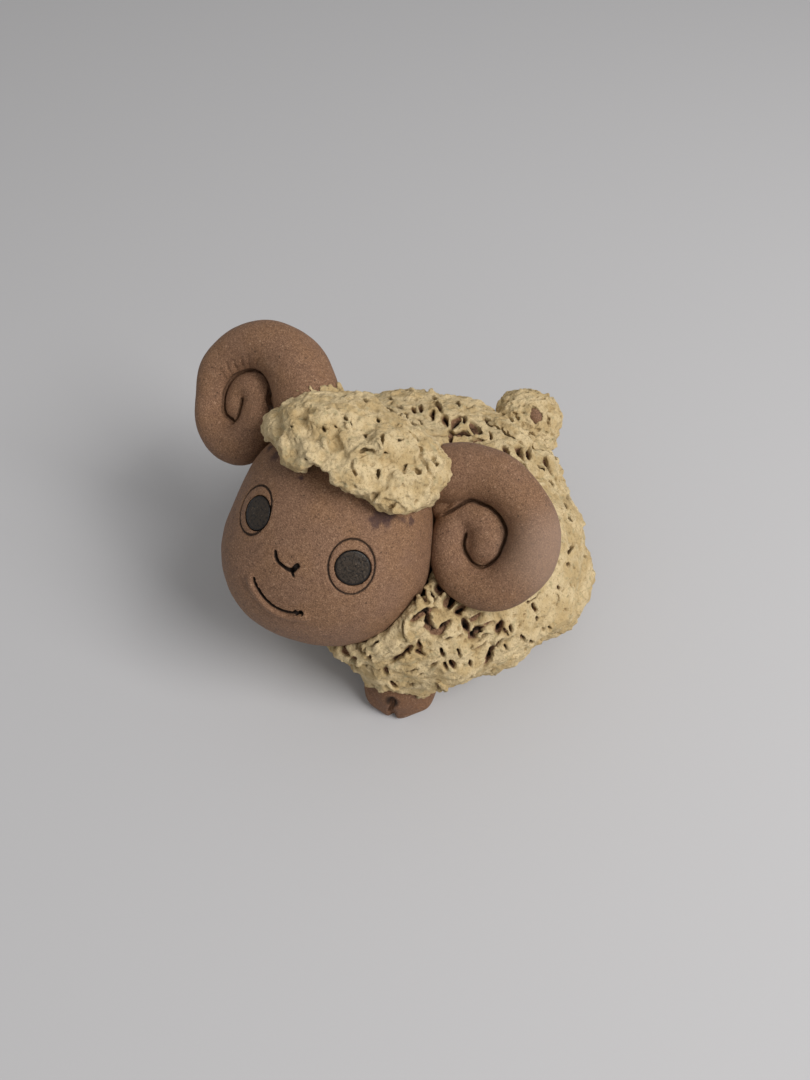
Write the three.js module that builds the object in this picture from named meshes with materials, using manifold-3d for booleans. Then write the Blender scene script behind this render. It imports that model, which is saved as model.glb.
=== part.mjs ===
// A hand-built stoneware ram: a squat body in a cream wool coat, a round face that looks up,
// and two coiled horns. Every piece was shaped alone in soft clay and luted on with slip.
// Millimetres, +Z up. The ram faces -Y, its left side is +X, and its hooves stand on Z = 0.

import * as THREE from "three";
import { mergeVertices } from "three/addons/utils/BufferGeometryUtils.js";
import Module from "manifold-3d";

const wasm = await Module();
wasm.setup();

// Luting: the film of slip between two pieces
const SLIP_GAP = 0.3;

// Wool coat over the body
const COAT_WIDTH = 86.5;
const COAT_LENGTH = 83;
const COAT_TOP = 50;
const COAT_HEM = 9;
const COAT_BELT = 24;
const COAT_THICKNESS = 5.4;
const COAT_UNDER_THICKNESS = 0.8;
const COAT_LUMP_HEIGHT = 1.5;
const COAT_LUMP_SIZE = 7.5;
const SHOULDER_WIDTH = 21;
const SHOULDER_LENGTH = 20;
const SHOULDER_TOP = 20;
const HAUNCH_WIDTH = 30;
const HAUNCH_LENGTH = 30;
const HAUNCH_TOP = 27;
const LOBE_HEM = 4;
const LOBE_BELLY_INSET = 10.5;

// Hollow clay body under the coat
const BODY_UNDERSIDE = 2.8;
const BODY_WALL = 6;
const BODY_BOXINESS = 2.3;
const VENT_DIAMETER = 16;

// Legs, short stumps that end in cleft hooves
const LEG_WIDTH = 16;
const LEG_LENGTH = 16.5;
const LEG_ROOT = 3.5;
const LEG_BULGE_HEIGHT = 5;
const LEG_BOXINESS = 2.8;
const FRONT_LEG_SIDE_INSET = 17.9;
const FRONT_LEG_END_INSET = 11.6;
const FRONT_LEG_SPLAY = 29;
const REAR_LEG_SIDE_INSET = 11;
const REAR_LEG_END_INSET = 19;
const REAR_LEG_SPLAY = 18;
const TOE_REACH = 2.5;
const CLEFT_WIDTH = 1.8;
const CLEFT_DEPTH = 3.6;
const CLEFT_HEIGHT = 4.4;

// Head, a ball with full cheeks
const HEAD_WIDTH = 49.6;
const HEAD_DEPTH = 40.6;
const HEAD_HEIGHT = 51.8;
const HEAD_CHEEK = 0.07;
const HEAD_SETBACK = 15;
const HEAD_DROP = 3.4;
const HEAD_SHIFT = -2;
const HEAD_TURN = 18;
const HEAD_TILT = 46;
const HEAD_ROLL = 6.5;

// Face, pressed and cut into the soft head
const FACE_TURN = 1.6;
const EYE_AZIMUTH = 34.5;
const EYE_ELEVATION = 2.5;
const PUPIL_DIAMETER = 7.8;
const PUPIL_THICKNESS = 1.6;
const EYE_RING_WIDTH = 9.6;
const EYE_RING_HEIGHT = 11.8;
const FACE_LINE_WIDTH = 1.1;
const NOSE_WIDTH = 5.8;
const NOSE_HEIGHT = 1.6;
const NOSE_ELEVATION = -13.5;
const MOUTH_WIDTH = 13.2;
const MOUTH_DROP = 3.4;
const MOUTH_ELEVATION = -37;

// Horns, tapered rolls of clay wound into flat spirals
const HORN_ROOT_DIAMETER = 11.3;
const HORN_TIP_DIAMETER = 7.2;
const HORN_TURNS = 1.45;
const HORN_TURN_GAP = 0.5;
const HORN_OUTER_TURN = 0.85;
const HORN_TIP_RADIUS = 1.2;
const HORN_STRETCH = 1.05;
const HORN_START_ANGLE = 128;
const HORN_ROOT_LENGTH = 15;
const HORN_SPREAD = 62;
const HORN_RISE = 16.3;
const HORN_SETBACK = 2.6;

// Wool cap between the horns
const CAP_THICKNESS = 5.6;
const CAP_SIDE_OVERHANG = 2.6;
const CAP_EDGE_RISE = 15.5;
const CAP_EDGE_ROLL = 4;
const CAP_LUMP_HEIGHT = 0.9;
const CAP_LUMP_SIZE = 7;

// Tail, a clay stub rolled in wool
const TAIL_WIDTH = 18;
const TAIL_OVERHANG = 15;
const TAIL_ROOT = 2;
const TAIL_RISE = 33;
const TAIL_TILT = 8;
const TAIL_WOOL_THICKNESS = 3;
const TAIL_PATCH_DIAMETER = 5;
const TAIL_PATCH_AZIMUTH = 40;
const TAIL_PATCH_ELEVATION = 66;

// Facets
const FINE = { sides: 44, rings: 19 };
const MEDIUM = { sides: 32, rings: 15 };
const COARSE = { sides: 16, rings: 8 };
const SMALL = { sides: 12, rings: 8 };
const ROUND = 20;
const LINE_SIDES = 6;
const LINE_STEPS = 12;
const HORN_SIDES = 12;
const HORN_STEPS_PER_TURN = 20;
const HORN_TIP_BENDS = [30, 60];

// Fine distances: where corners count as one, and the step in turns that gives a heading
const MERGE_DISTANCE = 1e-4;
const HEADING_STEP = 1e-3;

const radians = THREE.MathUtils.degToRad;

// Materials
const brownClay = { color: 0x8f735c, roughness: 0.85, metalness: 0 };
const creamWool = { color: 0xd6c7a2, roughness: 0.9, metalness: 0 };
const darkInlay = { color: 0x34302f, roughness: 0.5, metalness: 0 };

// A closed geometry as a solid that can be joined and cut
function solidOf(geometry) {
  const bare = new THREE.BufferGeometry();
  bare.setAttribute("position", geometry.getAttribute("position"));
  bare.setIndex(geometry.getIndex());
  const merged = mergeVertices(bare, MERGE_DISTANCE);
  const vertProperties = new Float32Array(merged.getAttribute("position").array);
  const triVerts = new Uint32Array(merged.getIndex().array);
  return new wasm.Manifold(new wasm.Mesh({ numProp: 3, vertProperties, triVerts }));
}

// A solid as a geometry again
function geometryOf(solid) {
  const mesh = solid.getMesh();
  const geometry = new THREE.BufferGeometry();
  geometry.setAttribute("position", new THREE.BufferAttribute(mesh.vertProperties, 3));
  geometry.setIndex(new THREE.BufferAttribute(mesh.triVerts, 1));
  geometry.computeVertexNormals();
  return geometry;
}

// A geometry placed by a matrix, as a solid
function placed(geometry, matrix) {
  return solidOf(geometry.clone().applyMatrix4(matrix));
}

// One solid with several others cut away
function cutBy(solid, ...tools) {
  return tools.reduce((left, tool) => left.subtract(tool), solid);
}

function pieceMesh(name, solid, finish) {
  const mesh = new THREE.Mesh(geometryOf(solid), new THREE.MeshStandardMaterial(finish));
  mesh.name = name;
  return mesh;
}

// Lumps: smooth random heights between -1 and 1, the same on every run
const NOISE_DIRECTION = new THREE.Vector3(127.1, 311.7, 74.7);
const NOISE_SPREAD = 43758.5453;

function cornerValue(corner) {
  const wave = Math.sin(corner.dot(NOISE_DIRECTION)) * NOISE_SPREAD;
  return 2 * (wave - Math.floor(wave)) - 1;
}

function lumpiness(point, size) {
  const cell = point.clone().divideScalar(size);
  const base = cell.clone().floor();
  const part = cell.clone().sub(base);
  const ease = [part.x, part.y, part.z].map((t) => t * t * (3 - 2 * t));
  let height = 0;
  for (const i of [0, 1]) {
    for (const j of [0, 1]) {
      for (const k of [0, 1]) {
        const weight = [i, j, k].reduce((w, bit, axis) => w * (bit ? ease[axis] : 1 - ease[axis]), 1);
        height += weight * cornerValue(new THREE.Vector3(i, j, k).add(base));
      }
    }
  }
  return height;
}

// How far an egg reaches along a unit direction: half holds side, end, up and down,
// boxiness 2 is a plain ellipsoid and more has steeper flanks, and cheek swells the lower half
function eggReach(direction, half, boxiness = 2, cheek = 0) {
  const side = half.side * (1 - cheek * direction.z);
  const tall = direction.z > 0 ? half.up : half.down;
  const level = Math.hypot(direction.x / side, direction.y / half.end);
  return (level ** boxiness + Math.abs(direction.z / tall) ** boxiness) ** (-1 / boxiness);
}

function grown(half, by) {
  return { side: half.side + by, end: half.end + by, up: half.up + by, down: half.down + by };
}

// A closed lump round the origin, with its surface at reach(direction) and its poles on Z
function lump(reach, { sides, rings }) {
  const geometry = new THREE.SphereGeometry(1, sides, rings).rotateX(Math.PI / 2);
  const position = geometry.getAttribute("position");
  const direction = new THREE.Vector3();
  for (let i = 0; i < position.count; i += 1) {
    direction.fromBufferAttribute(position, i).normalize();
    const far = reach(direction);
    position.setXYZ(i, direction.x * far, direction.y * far, direction.z * far);
  }
  return geometry;
}

function at(x, y, z) {
  return new THREE.Matrix4().makeTranslation(x, y, z);
}

// Wool coat and body share the centre of the belt, where both are widest
const coatHalf = {
  side: COAT_WIDTH / 2,
  end: COAT_LENGTH / 2,
  up: COAT_TOP - COAT_BELT,
  down: COAT_BELT - BODY_UNDERSIDE + COAT_UNDER_THICKNESS,
};
const bodyHalf = {
  side: coatHalf.side - COAT_THICKNESS,
  end: coatHalf.end - COAT_THICKNESS,
  up: coatHalf.up - COAT_THICKNESS,
  down: COAT_BELT - BODY_UNDERSIDE,
};
const belt = at(0, 0, COAT_BELT);

function coatEgg(grow = 0, frame = new THREE.Matrix4()) {
  const surface = (direction) => {
    const reach = eggReach(direction, coatHalf, BODY_BOXINESS);
    const height = lumpiness(direction.clone().multiplyScalar(reach), COAT_LUMP_SIZE);
    return reach + COAT_LUMP_HEIGHT * height + grow;
  };
  return placed(lump(surface, FINE), frame.clone().multiply(belt));
}

// Everything below a height, as a block to trim with
function groundBlock(height) {
  const block = new THREE.BoxGeometry(2 * COAT_WIDTH, 2 * COAT_LENGTH, COAT_TOP);
  return placed(block, at(0, 0, height - COAT_TOP / 2));
}

function bodyEgg(grow, detail = MEDIUM) {
  const half = grown(bodyHalf, grow);
  return placed(lump((direction) => eggReach(direction, half, BODY_BOXINESS), detail), belt);
}

// How much of its half axis an egg keeps, at a share of the way along the other
function eggShare(share) {
  return Math.max(0, 1 - share ** BODY_BOXINESS) ** (1 / BODY_BOXINESS);
}

// Height of the body's underside above a place on the ground
function bodyUnderside(x, y) {
  return COAT_BELT - bodyHalf.down * eggShare(Math.hypot(x / bodyHalf.side, y / bodyHalf.end));
}

// Where the rump of the body ends, at a height
function bodyRump(height) {
  const tall = height > COAT_BELT ? bodyHalf.up : bodyHalf.down;
  return bodyHalf.end * eggShare(Math.abs(height - COAT_BELT) / tall);
}

// Head: its own frame has the face on -Y and the crown on +Z
const headHalf = {
  side: HEAD_WIDTH / 2,
  end: HEAD_DEPTH / 2,
  up: HEAD_HEIGHT / 2,
  down: HEAD_HEIGHT / 2,
};
const headGroup = new THREE.Group();
headGroup.position.set(HEAD_SHIFT, HEAD_SETBACK - coatHalf.end, COAT_TOP - HEAD_DROP);
headGroup.rotation.set(radians(-HEAD_TILT), radians(HEAD_ROLL), radians(HEAD_TURN), "ZXY");
headGroup.updateMatrix();

function headReach(direction, grow = 0) {
  return eggReach(direction, grown(headHalf, grow), undefined, HEAD_CHEEK);
}

function headEgg(grow, matrix = new THREE.Matrix4()) {
  return placed(lump((direction) => headReach(direction, grow), MEDIUM), matrix);
}

// A point on the face, from its angle to the side and its angle above the middle
function facePoint(azimuth, elevation) {
  const turn = radians(azimuth + FACE_TURN);
  const rise = radians(elevation);
  const direction = new THREE.Vector3(
    Math.sin(turn) * Math.cos(rise),
    -Math.cos(turn) * Math.cos(rise),
    Math.sin(rise),
  );
  return direction.multiplyScalar(headReach(direction));
}

// A frame on the face at a point, with its Y axis pointing out of the skin
function faceFrame(point) {
  const out = new THREE.Vector3(
    point.x / headHalf.side ** 2,
    point.y / headHalf.end ** 2,
    point.z / headHalf.up ** 2,
  ).normalize();
  const across = new THREE.Vector3(0, 0, 1).cross(out).normalize();
  const along = new THREE.Vector3().crossVectors(across, out);
  return new THREE.Matrix4().makeBasis(across, out, along).setPosition(point);
}

// How far a circle drawn on the head lies below the skin at its centre
function sagUnder(radius) {
  return headHalf.end - Math.sqrt(headHalf.end ** 2 - radius ** 2);
}

// Pupil bed: a plug that reaches from below the skin out past it
function pupilPlug(side, grow) {
  const below = PUPIL_THICKNESS + grow;
  const outside = PUPIL_THICKNESS;
  const plug = new THREE.CylinderGeometry(
    PUPIL_DIAMETER / 2 + grow,
    PUPIL_DIAMETER / 2 + grow,
    below + outside,
    ROUND,
  );
  plug.translate(0, (outside - below) / 2, 0);
  return placed(plug, faceFrame(facePoint(side * EYE_AZIMUTH, EYE_ELEVATION)));
}

// Eye ring: a round groove pressed round each pupil
function eyeRing(side) {
  const radius = EYE_RING_WIDTH / 2;
  const ring = new THREE.TorusGeometry(radius, FACE_LINE_WIDTH / 2, LINE_SIDES, ROUND);
  ring.rotateX(Math.PI / 2);
  ring.scale(1, 1, EYE_RING_HEIGHT / EYE_RING_WIDTH);
  ring.translate(0, -sagUnder((EYE_RING_WIDTH + EYE_RING_HEIGHT) / 4), 0);
  return placed(ring, faceFrame(facePoint(side * EYE_AZIMUTH, EYE_ELEVATION)));
}

// A cut line across the face that dips in the middle
function smileCut(width, dip, elevation) {
  const middle = facePoint(0, elevation);
  const points = [];
  for (let i = 0; i <= LINE_STEPS; i += 1) {
    const share = (2 * i) / LINE_STEPS - 1;
    const drop = dip * (1 - share ** 2);
    const aim = new THREE.Vector3(middle.x + (share * width) / 2, middle.y, middle.z - drop);
    const direction = aim.normalize();
    points.push(direction.clone().multiplyScalar(headReach(direction)));
  }
  const section = new THREE.Shape().absarc(0, 0, FACE_LINE_WIDTH / 2, 0, 2 * Math.PI);
  const line = new THREE.ExtrudeGeometry(section, {
    steps: LINE_STEPS,
    curveSegments: LINE_SIDES / 2,
    extrudePath: new THREE.CatmullRomCurve3(points),
  });
  return solidOf(line);
}

// Horn spiral: turns lie side by side with a fine crease between them, while the roll thins
const hornTaper = (HORN_ROOT_DIAMETER - HORN_TIP_DIAMETER) / 2 / HORN_TURNS;
const hornDraw = HORN_ROOT_DIAMETER + HORN_TURN_GAP;

function hornCoilRadius(turn) {
  const left = HORN_TURNS - turn;
  return HORN_TIP_RADIUS + (hornDraw - hornTaper * (HORN_TURNS + turn)) * left;
}

function hornRollRadius(turn) {
  return HORN_ROOT_DIAMETER / 2 - hornTaper * turn;
}

function hornCentre(turn) {
  const angle = radians(HORN_START_ANGLE) - 2 * Math.PI * turn;
  const radius = hornCoilRadius(turn);
  return new THREE.Vector3(radius * Math.cos(angle), 0, radius * Math.sin(angle));
}

function hornHeading(turn) {
  return hornCentre(turn + HEADING_STEP).sub(hornCentre(turn - HEADING_STEP)).normalize();
}

// The least gap between neighbouring turns, measured on points along the roll
function hornLeastGap() {
  let least = Infinity;
  for (let turn = 1; turn <= HORN_TURNS; turn += 1 / HORN_STEPS_PER_TURN) {
    const apart = hornCentre(turn).distanceTo(hornCentre(turn - 1));
    least = Math.min(least, apart - hornRollRadius(turn) - hornRollRadius(turn - 1));
  }
  return least;
}

// The roll as rings: a straight root, the spiral and a round tip
function hornRings(turns, grow) {
  const rings = [];
  const root = hornCentre(0).addScaledVector(hornHeading(0), -HORN_ROOT_LENGTH);
  rings.push({ centre: root, heading: hornHeading(0), radius: hornRollRadius(0) + grow });
  const steps = Math.ceil(turns * HORN_STEPS_PER_TURN);
  for (let i = 0; i <= steps; i += 1) {
    const turn = (turns * i) / steps;
    rings.push({ centre: hornCentre(turn), heading: hornHeading(turn), radius: hornRollRadius(turn) + grow });
  }
  const tip = rings[rings.length - 1];
  for (const bend of HORN_TIP_BENDS) {
    const centre = tip.centre.clone().addScaledVector(tip.heading, tip.radius * Math.sin(radians(bend)));
    rings.push({ centre, heading: tip.heading, radius: tip.radius * Math.cos(radians(bend)) });
  }
  const end = tip.centre.clone().addScaledVector(tip.heading, tip.radius);
  return { rings, start: root, end };
}

function hornFrame(side, frame) {
  return frame.clone().multiply(at((side * HORN_SPREAD) / 2, HORN_SETBACK, HORN_RISE));
}

// The closed roll of one horn: side is 1 on the left and -1 on the right
function hornRoll(side, turns = HORN_TURNS, grow = 0, frame = new THREE.Matrix4()) {
  const { rings, start, end } = hornRings(turns, grow);
  const points = [];
  for (const ring of rings) {
    const across = new THREE.Vector3(-ring.heading.z, 0, ring.heading.x);
    for (let i = 0; i < HORN_SIDES; i += 1) {
      const angle = (2 * Math.PI * i) / HORN_SIDES;
      const point = ring.centre.clone().addScaledVector(across, ring.radius * Math.cos(angle));
      points.push(point.setY(ring.radius * Math.sin(angle)));
    }
  }
  const startIndex = points.push(start) - 1;
  const endIndex = points.push(end) - 1;
  const triangles = [];
  const last = rings.length - 1;
  for (let i = 0; i < HORN_SIDES; i += 1) {
    const next = (i + 1) % HORN_SIDES;
    triangles.push([startIndex, next, i]);
    triangles.push([endIndex, last * HORN_SIDES + i, last * HORN_SIDES + next]);
    for (let ring = 0; ring < last; ring += 1) {
      const here = ring * HORN_SIDES;
      const there = here + HORN_SIDES;
      triangles.push([here + i, here + next, there + next]);
      triangles.push([here + i, there + next, there + i]);
    }
  }
  const outward = side < 0 ? triangles : triangles.map(([a, b, c]) => [a, c, b]);
  const geometry = new THREE.BufferGeometry();
  const mirrored = points.flatMap((point) => [side * point.x, point.y, HORN_STRETCH * point.z]);
  geometry.setAttribute("position", new THREE.Float32BufferAttribute(mirrored, 3));
  geometry.setIndex(outward.flat());
  return placed(geometry, hornFrame(side, frame));
}

// Horn bed: the whole coil with the creases filled, as it presses into the wool behind it
function hornBed(side, frame) {
  const outerTurn = hornRoll(side, HORN_OUTER_TURN, SLIP_GAP, frame);
  const thick = hornRollRadius(HORN_OUTER_TURN) + SLIP_GAP;
  const wide = hornCoilRadius(HORN_OUTER_TURN) + thick;
  const innerTurn = new THREE.CylinderGeometry(wide, wide, 2 * thick, ROUND).scale(1, 1, HORN_STRETCH);
  return outerTurn.add(placed(innerTurn, hornFrame(side, frame)));
}

// Wool cap: a mushroom of wool on the crown, rolled under at its edge
function capEgg() {
  const share = CAP_EDGE_RISE / headHalf.up;
  const narrow = Math.sqrt(1 - share ** 2);
  const half = {
    side: headHalf.side * narrow + CAP_SIDE_OVERHANG,
    end: headHalf.end * narrow + CAP_THICKNESS,
    up: headHalf.up - CAP_EDGE_RISE + CAP_THICKNESS,
    down: CAP_EDGE_ROLL,
  };
  const surface = (direction) => {
    const reach = eggReach(direction, half);
    return reach + CAP_LUMP_HEIGHT * lumpiness(direction.clone().multiplyScalar(reach), CAP_LUMP_SIZE);
  };
  return placed(lump(surface, MEDIUM), at(0, 0, CAP_EDGE_RISE));
}

// Legs: stumps under the four corners of the body, with the toes turned out
const frontLeg = {
  end: -1,
  sideInset: FRONT_LEG_SIDE_INSET,
  endInset: FRONT_LEG_END_INSET,
  splay: FRONT_LEG_SPLAY,
  lobe: { width: SHOULDER_WIDTH, length: SHOULDER_LENGTH, top: SHOULDER_TOP },
};
const rearLeg = {
  end: 1,
  sideInset: REAR_LEG_SIDE_INSET,
  endInset: REAR_LEG_END_INSET,
  splay: REAR_LEG_SPLAY,
  lobe: { width: HAUNCH_WIDTH, length: HAUNCH_LENGTH, top: HAUNCH_TOP },
};

function legPlace(leg) {
  return { x: bodyHalf.side - leg.sideInset, y: leg.end * (bodyHalf.end - leg.endInset) };
}

function legFrame(leg, side) {
  const { x, y } = legPlace(leg);
  return at(side * x, y, 0).multiply(new THREE.Matrix4().makeRotationZ(radians(side * leg.splay)));
}

// A stump runs up into the body by its root and is cut flat on the ground
function legStump(leg, side, grow) {
  const { x, y } = legPlace(leg);
  const rise = bodyUnderside(x, y) + LEG_ROOT - LEG_BULGE_HEIGHT;
  const half = { side: LEG_WIDTH / 2, end: LEG_LENGTH / 2, up: rise, down: rise };
  const bulk = lump((direction) => eggReach(direction, grown(half, grow), LEG_BOXINESS), COARSE);
  bulk.translate(0, -TOE_REACH, LEG_BULGE_HEIGHT);
  return placed(bulk, legFrame(leg, side)).subtract(groundBlock(0));
}

// The cleft between the two toes, an almond pressed into the front of the hoof
function legCleft(leg, side) {
  const almond = new THREE.SphereGeometry(1, SMALL.sides, SMALL.rings);
  almond.scale(CLEFT_WIDTH / 2, CLEFT_DEPTH, CLEFT_HEIGHT);
  almond.translate(0, -TOE_REACH - LEG_LENGTH / 2, LEG_BULGE_HEIGHT / 2);
  return placed(almond, legFrame(leg, side));
}

// Wool that swells over the shoulder or the haunch and hangs down round the leg
function legLobe(leg, side) {
  const middle = (leg.lobe.top + LOBE_HEM) / 2;
  const half = {
    side: leg.lobe.width / 2,
    end: leg.lobe.length / 2,
    up: leg.lobe.top - middle,
    down: middle - LOBE_HEM,
  };
  const surface = (direction) => {
    const reach = eggReach(direction, half, BODY_BOXINESS);
    return reach + COAT_LUMP_HEIGHT * lumpiness(direction.clone().multiplyScalar(reach), COAT_LUMP_SIZE);
  };
  return placed(lump(surface, COARSE), legFrame(leg, side).multiply(at(0, 0, middle)));
}

// The space under the belly, which the wool round the legs stays clear of
function bellySpace() {
  const column = new THREE.CylinderGeometry(1, 1, COAT_BELT, MEDIUM.sides).rotateX(Math.PI / 2);
  column.scale(bodyHalf.side - LOBE_BELLY_INSET, bodyHalf.end - LOBE_BELLY_INSET, 1);
  return placed(column, at(0, 0, COAT_BELT / 2));
}

// Tail: a stub rooted in the rump that stands out past the coat, in its own frame along +Y
const tailStart = bodyRump(TAIL_RISE) - TAIL_ROOT - TAIL_WOOL_THICKNESS;
const tailEnd = coatHalf.end + TAIL_OVERHANG;
const tailLength = tailEnd - tailStart;
const tailFrame = at(0, (tailStart + tailEnd) / 2, TAIL_RISE).multiply(
  new THREE.Matrix4().makeRotationX(radians(TAIL_TILT)),
);
const tailHalf = { side: TAIL_WIDTH / 2, end: tailLength / 2, up: TAIL_WIDTH / 2, down: TAIL_WIDTH / 2 };

function tailWoolEgg(grow) {
  return placed(lump((direction) => eggReach(direction, grown(tailHalf, grow)), COARSE), tailFrame);
}

function tailStubEgg(grow) {
  const half = grown(tailHalf, grow - TAIL_WOOL_THICKNESS);
  return placed(lump((direction) => eggReach(direction, half), COARSE), tailFrame);
}

// The torn patch on the tail where the stub shows
function tailPatch() {
  const radius = TAIL_PATCH_DIAMETER / 2;
  const hole = new THREE.CylinderGeometry(radius, radius, tailLength, ROUND);
  hole.translate(0, tailLength / 2, 0);
  hole.rotateX(radians(90 - TAIL_PATCH_ELEVATION));
  hole.rotateX(Math.PI / 2);
  hole.rotateZ(radians(TAIL_PATCH_AZIMUTH));
  return placed(hole, tailFrame);
}

// Put the pieces together
const inBody = headGroup.matrix;
const headSeat = headEgg(SLIP_GAP, inBody);
const ram = new THREE.Group();

const hollow = cutBy(bodyEgg(-BODY_WALL, COARSE), headEgg(BODY_WALL, inBody));
const vent = placed(
  new THREE.CylinderGeometry(VENT_DIAMETER / 2, VENT_DIAMETER / 2, COAT_BELT, ROUND).rotateX(Math.PI / 2),
  at(0, 0, COAT_BELT / 2),
);
ram.add(pieceMesh("body_core", cutBy(bodyEgg(0), headSeat, hollow, vent), brownClay));

const bodySeat = bodyEgg(SLIP_GAP);
const legSeats = [];
let fleece = coatEgg().subtract(groundBlock(COAT_HEM));
for (const [endName, leg] of [["front", frontLeg], ["rear", rearLeg]]) {
  for (const [sideName, side] of [["left", 1], ["right", -1]]) {
    const stump = cutBy(legStump(leg, side, 0), bodySeat, legCleft(leg, side));
    ram.add(pieceMesh(`leg_${endName}_${sideName}`, stump, brownClay));
    legSeats.push(legStump(leg, side, SLIP_GAP));
    fleece = fleece.add(legLobe(leg, side).subtract(bellySpace()));
  }
}

const tailStub = cutBy(tailStubEgg(0), bodySeat);
ram.add(pieceMesh("tail_stub", tailStub, brownClay));
const tailWool = cutBy(tailWoolEgg(0), bodySeat, tailStubEgg(SLIP_GAP), tailPatch());
ram.add(pieceMesh("tail_wool", tailWool, creamWool));

const hornBeds = [1, -1].map((side) => hornBed(side, inBody));
const coat = cutBy(fleece, bodySeat, headSeat, tailWoolEgg(SLIP_GAP), ...legSeats, ...hornBeds);
ram.add(pieceMesh("wool_coat", coat, creamWool));

const skull = headEgg(0);
const skullSeat = headEgg(SLIP_GAP);
const faceCuts = [
  smileCut(NOSE_WIDTH, NOSE_HEIGHT, NOSE_ELEVATION),
  smileCut(MOUTH_WIDTH, MOUTH_DROP, MOUTH_ELEVATION),
  ...[1, -1].flatMap((side) => [eyeRing(side), pupilPlug(side, SLIP_GAP)]),
];
headGroup.add(pieceMesh("head", cutBy(skull, ...faceCuts), brownClay));

const hornSeats = [];
for (const [sideName, side] of [["left", 1], ["right", -1]]) {
  headGroup.add(pieceMesh(`pupil_${sideName}`, pupilPlug(side, 0).intersect(skull), darkInlay));
  headGroup.add(pieceMesh(`horn_${sideName}`, cutBy(hornRoll(side), skullSeat), brownClay));
  hornSeats.push(hornBed(side, new THREE.Matrix4()));
}
const coatSeat = coatEgg(SLIP_GAP, inBody.clone().invert());
headGroup.add(pieceMesh("wool_cap", cutBy(capEgg(), skullSeat, coatSeat, ...hornSeats), creamWool));
ram.add(headGroup);

// Stand the ram with the middle of its footprint over the origin
const extent = new THREE.Box3().setFromObject(ram, true);
ram.position.set(-(extent.min.x + extent.max.x) / 2, -(extent.min.y + extent.max.y) / 2, 0);
console.log(`Least gap between the turns of a horn: ${hornLeastGap().toFixed(2)} mm`);

export default ram;
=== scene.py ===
"""A hand-built stoneware ram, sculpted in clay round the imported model.

Every piece is worked as a lump of clay: a grid of distances to its skin, in millimetres and negative
inside, that takes pellets, presses and cuts. The skin is then drawn off the grid as a mesh, in metres.
The ram faces -Y, its left side is +X, and it stands on Z = 0.
"""

import itertools
import math

import bmesh
import bpy
import numpy as np
import openvdb
from mathutils import Euler, Matrix, Vector
from mathutils.bvhtree import BVHTree
from mathutils.kdtree import KDTree


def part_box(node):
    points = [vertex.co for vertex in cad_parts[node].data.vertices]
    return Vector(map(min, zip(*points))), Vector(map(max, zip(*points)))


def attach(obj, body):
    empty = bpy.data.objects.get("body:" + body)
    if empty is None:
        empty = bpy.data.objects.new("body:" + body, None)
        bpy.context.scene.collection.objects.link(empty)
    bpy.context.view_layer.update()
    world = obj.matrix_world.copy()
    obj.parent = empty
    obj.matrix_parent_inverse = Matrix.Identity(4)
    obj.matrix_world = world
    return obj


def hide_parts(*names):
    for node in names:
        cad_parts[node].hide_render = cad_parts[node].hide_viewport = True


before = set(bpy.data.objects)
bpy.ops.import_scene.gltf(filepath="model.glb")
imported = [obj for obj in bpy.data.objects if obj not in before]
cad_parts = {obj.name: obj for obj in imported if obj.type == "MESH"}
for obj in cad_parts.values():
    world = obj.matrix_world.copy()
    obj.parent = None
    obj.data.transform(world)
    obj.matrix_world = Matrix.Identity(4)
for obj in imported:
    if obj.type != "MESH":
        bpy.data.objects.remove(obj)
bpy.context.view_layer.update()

MM = 0.001
SEED = 7

# The photograph's frame and the camera that took it, in pixels and millimetres
PHOTO_WIDTH = 810
PHOTO_HEIGHT = 1080
FOCAL_PIXELS = 850
SENSOR = 36
CAMERA_PLACE = np.array((92.3, -100.1, 203.9))
CAMERA_AIM = np.array((1.05, -4.54, 20.0))
CAMERA_ROLL = 1.47

# Clay: how fine the grids are, and how far apart two luted pieces lie
HEAD_STEP = 0.27
COAT_STEP = 0.36
CAP_STEP = 0.3
HORN_STEP = 0.34
SMALL_STEP = 0.3
BODY_STEP = 0.7
PUPIL_STEP = 0.15
LUTE_GAP = 0.05
CUT_BAND = 3
GRID_MARGIN = 3.0
FAR = 3.0
SWELL_BAND = FAR - 0.6
WITHIN_BAND = FAR - 1
NODE_BLUR = 1.2
MOST_TRIANGLES = 185000
TINY = 1e-9

# How far and how finely a ray is searched for the outline of a skin
FOLLOW_SPAN = 45
FOLLOW_STEP = 1.5
FOLLOW_MOST = 3
FOLLOW_SKIP = 0.01

# Head frame, turned about Z, then X, then Y
HEAD_TURN = 18
HEAD_TILT = -46
HEAD_ROLL = 6.5


def turn(x=0, y=0, z=0):
    """A rotation from angles in degrees, as an array."""
    angles = [math.radians(a) for a in (x, y, z)]
    return np.array(Euler(angles).to_matrix())


HEAD_AXES = turn(z=HEAD_TURN) @ turn(x=HEAD_TILT) @ turn(y=HEAD_ROLL)


# Camera

def make_camera():
    data = bpy.data.cameras.new("camera")
    data.sensor_width = SENSOR
    data.lens = SENSOR * FOCAL_PIXELS / PHOTO_HEIGHT
    data.clip_start = 0.01
    data.clip_end = 20
    camera = bpy.data.objects.new("camera", data)
    bpy.context.scene.collection.objects.link(camera)
    aim = Vector(CAMERA_AIM - CAMERA_PLACE).to_track_quat("-Z", "Y").to_matrix()
    roll = Matrix.Rotation(math.radians(CAMERA_ROLL), 3, "Z")
    camera.matrix_world = Matrix.Translation(Vector(CAMERA_PLACE * MM)) @ (aim @ roll).to_4x4()
    bpy.context.scene.camera = camera
    return camera


camera = make_camera()
CAMERA_AXES = np.array(camera.matrix_world.to_3x3())


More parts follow.
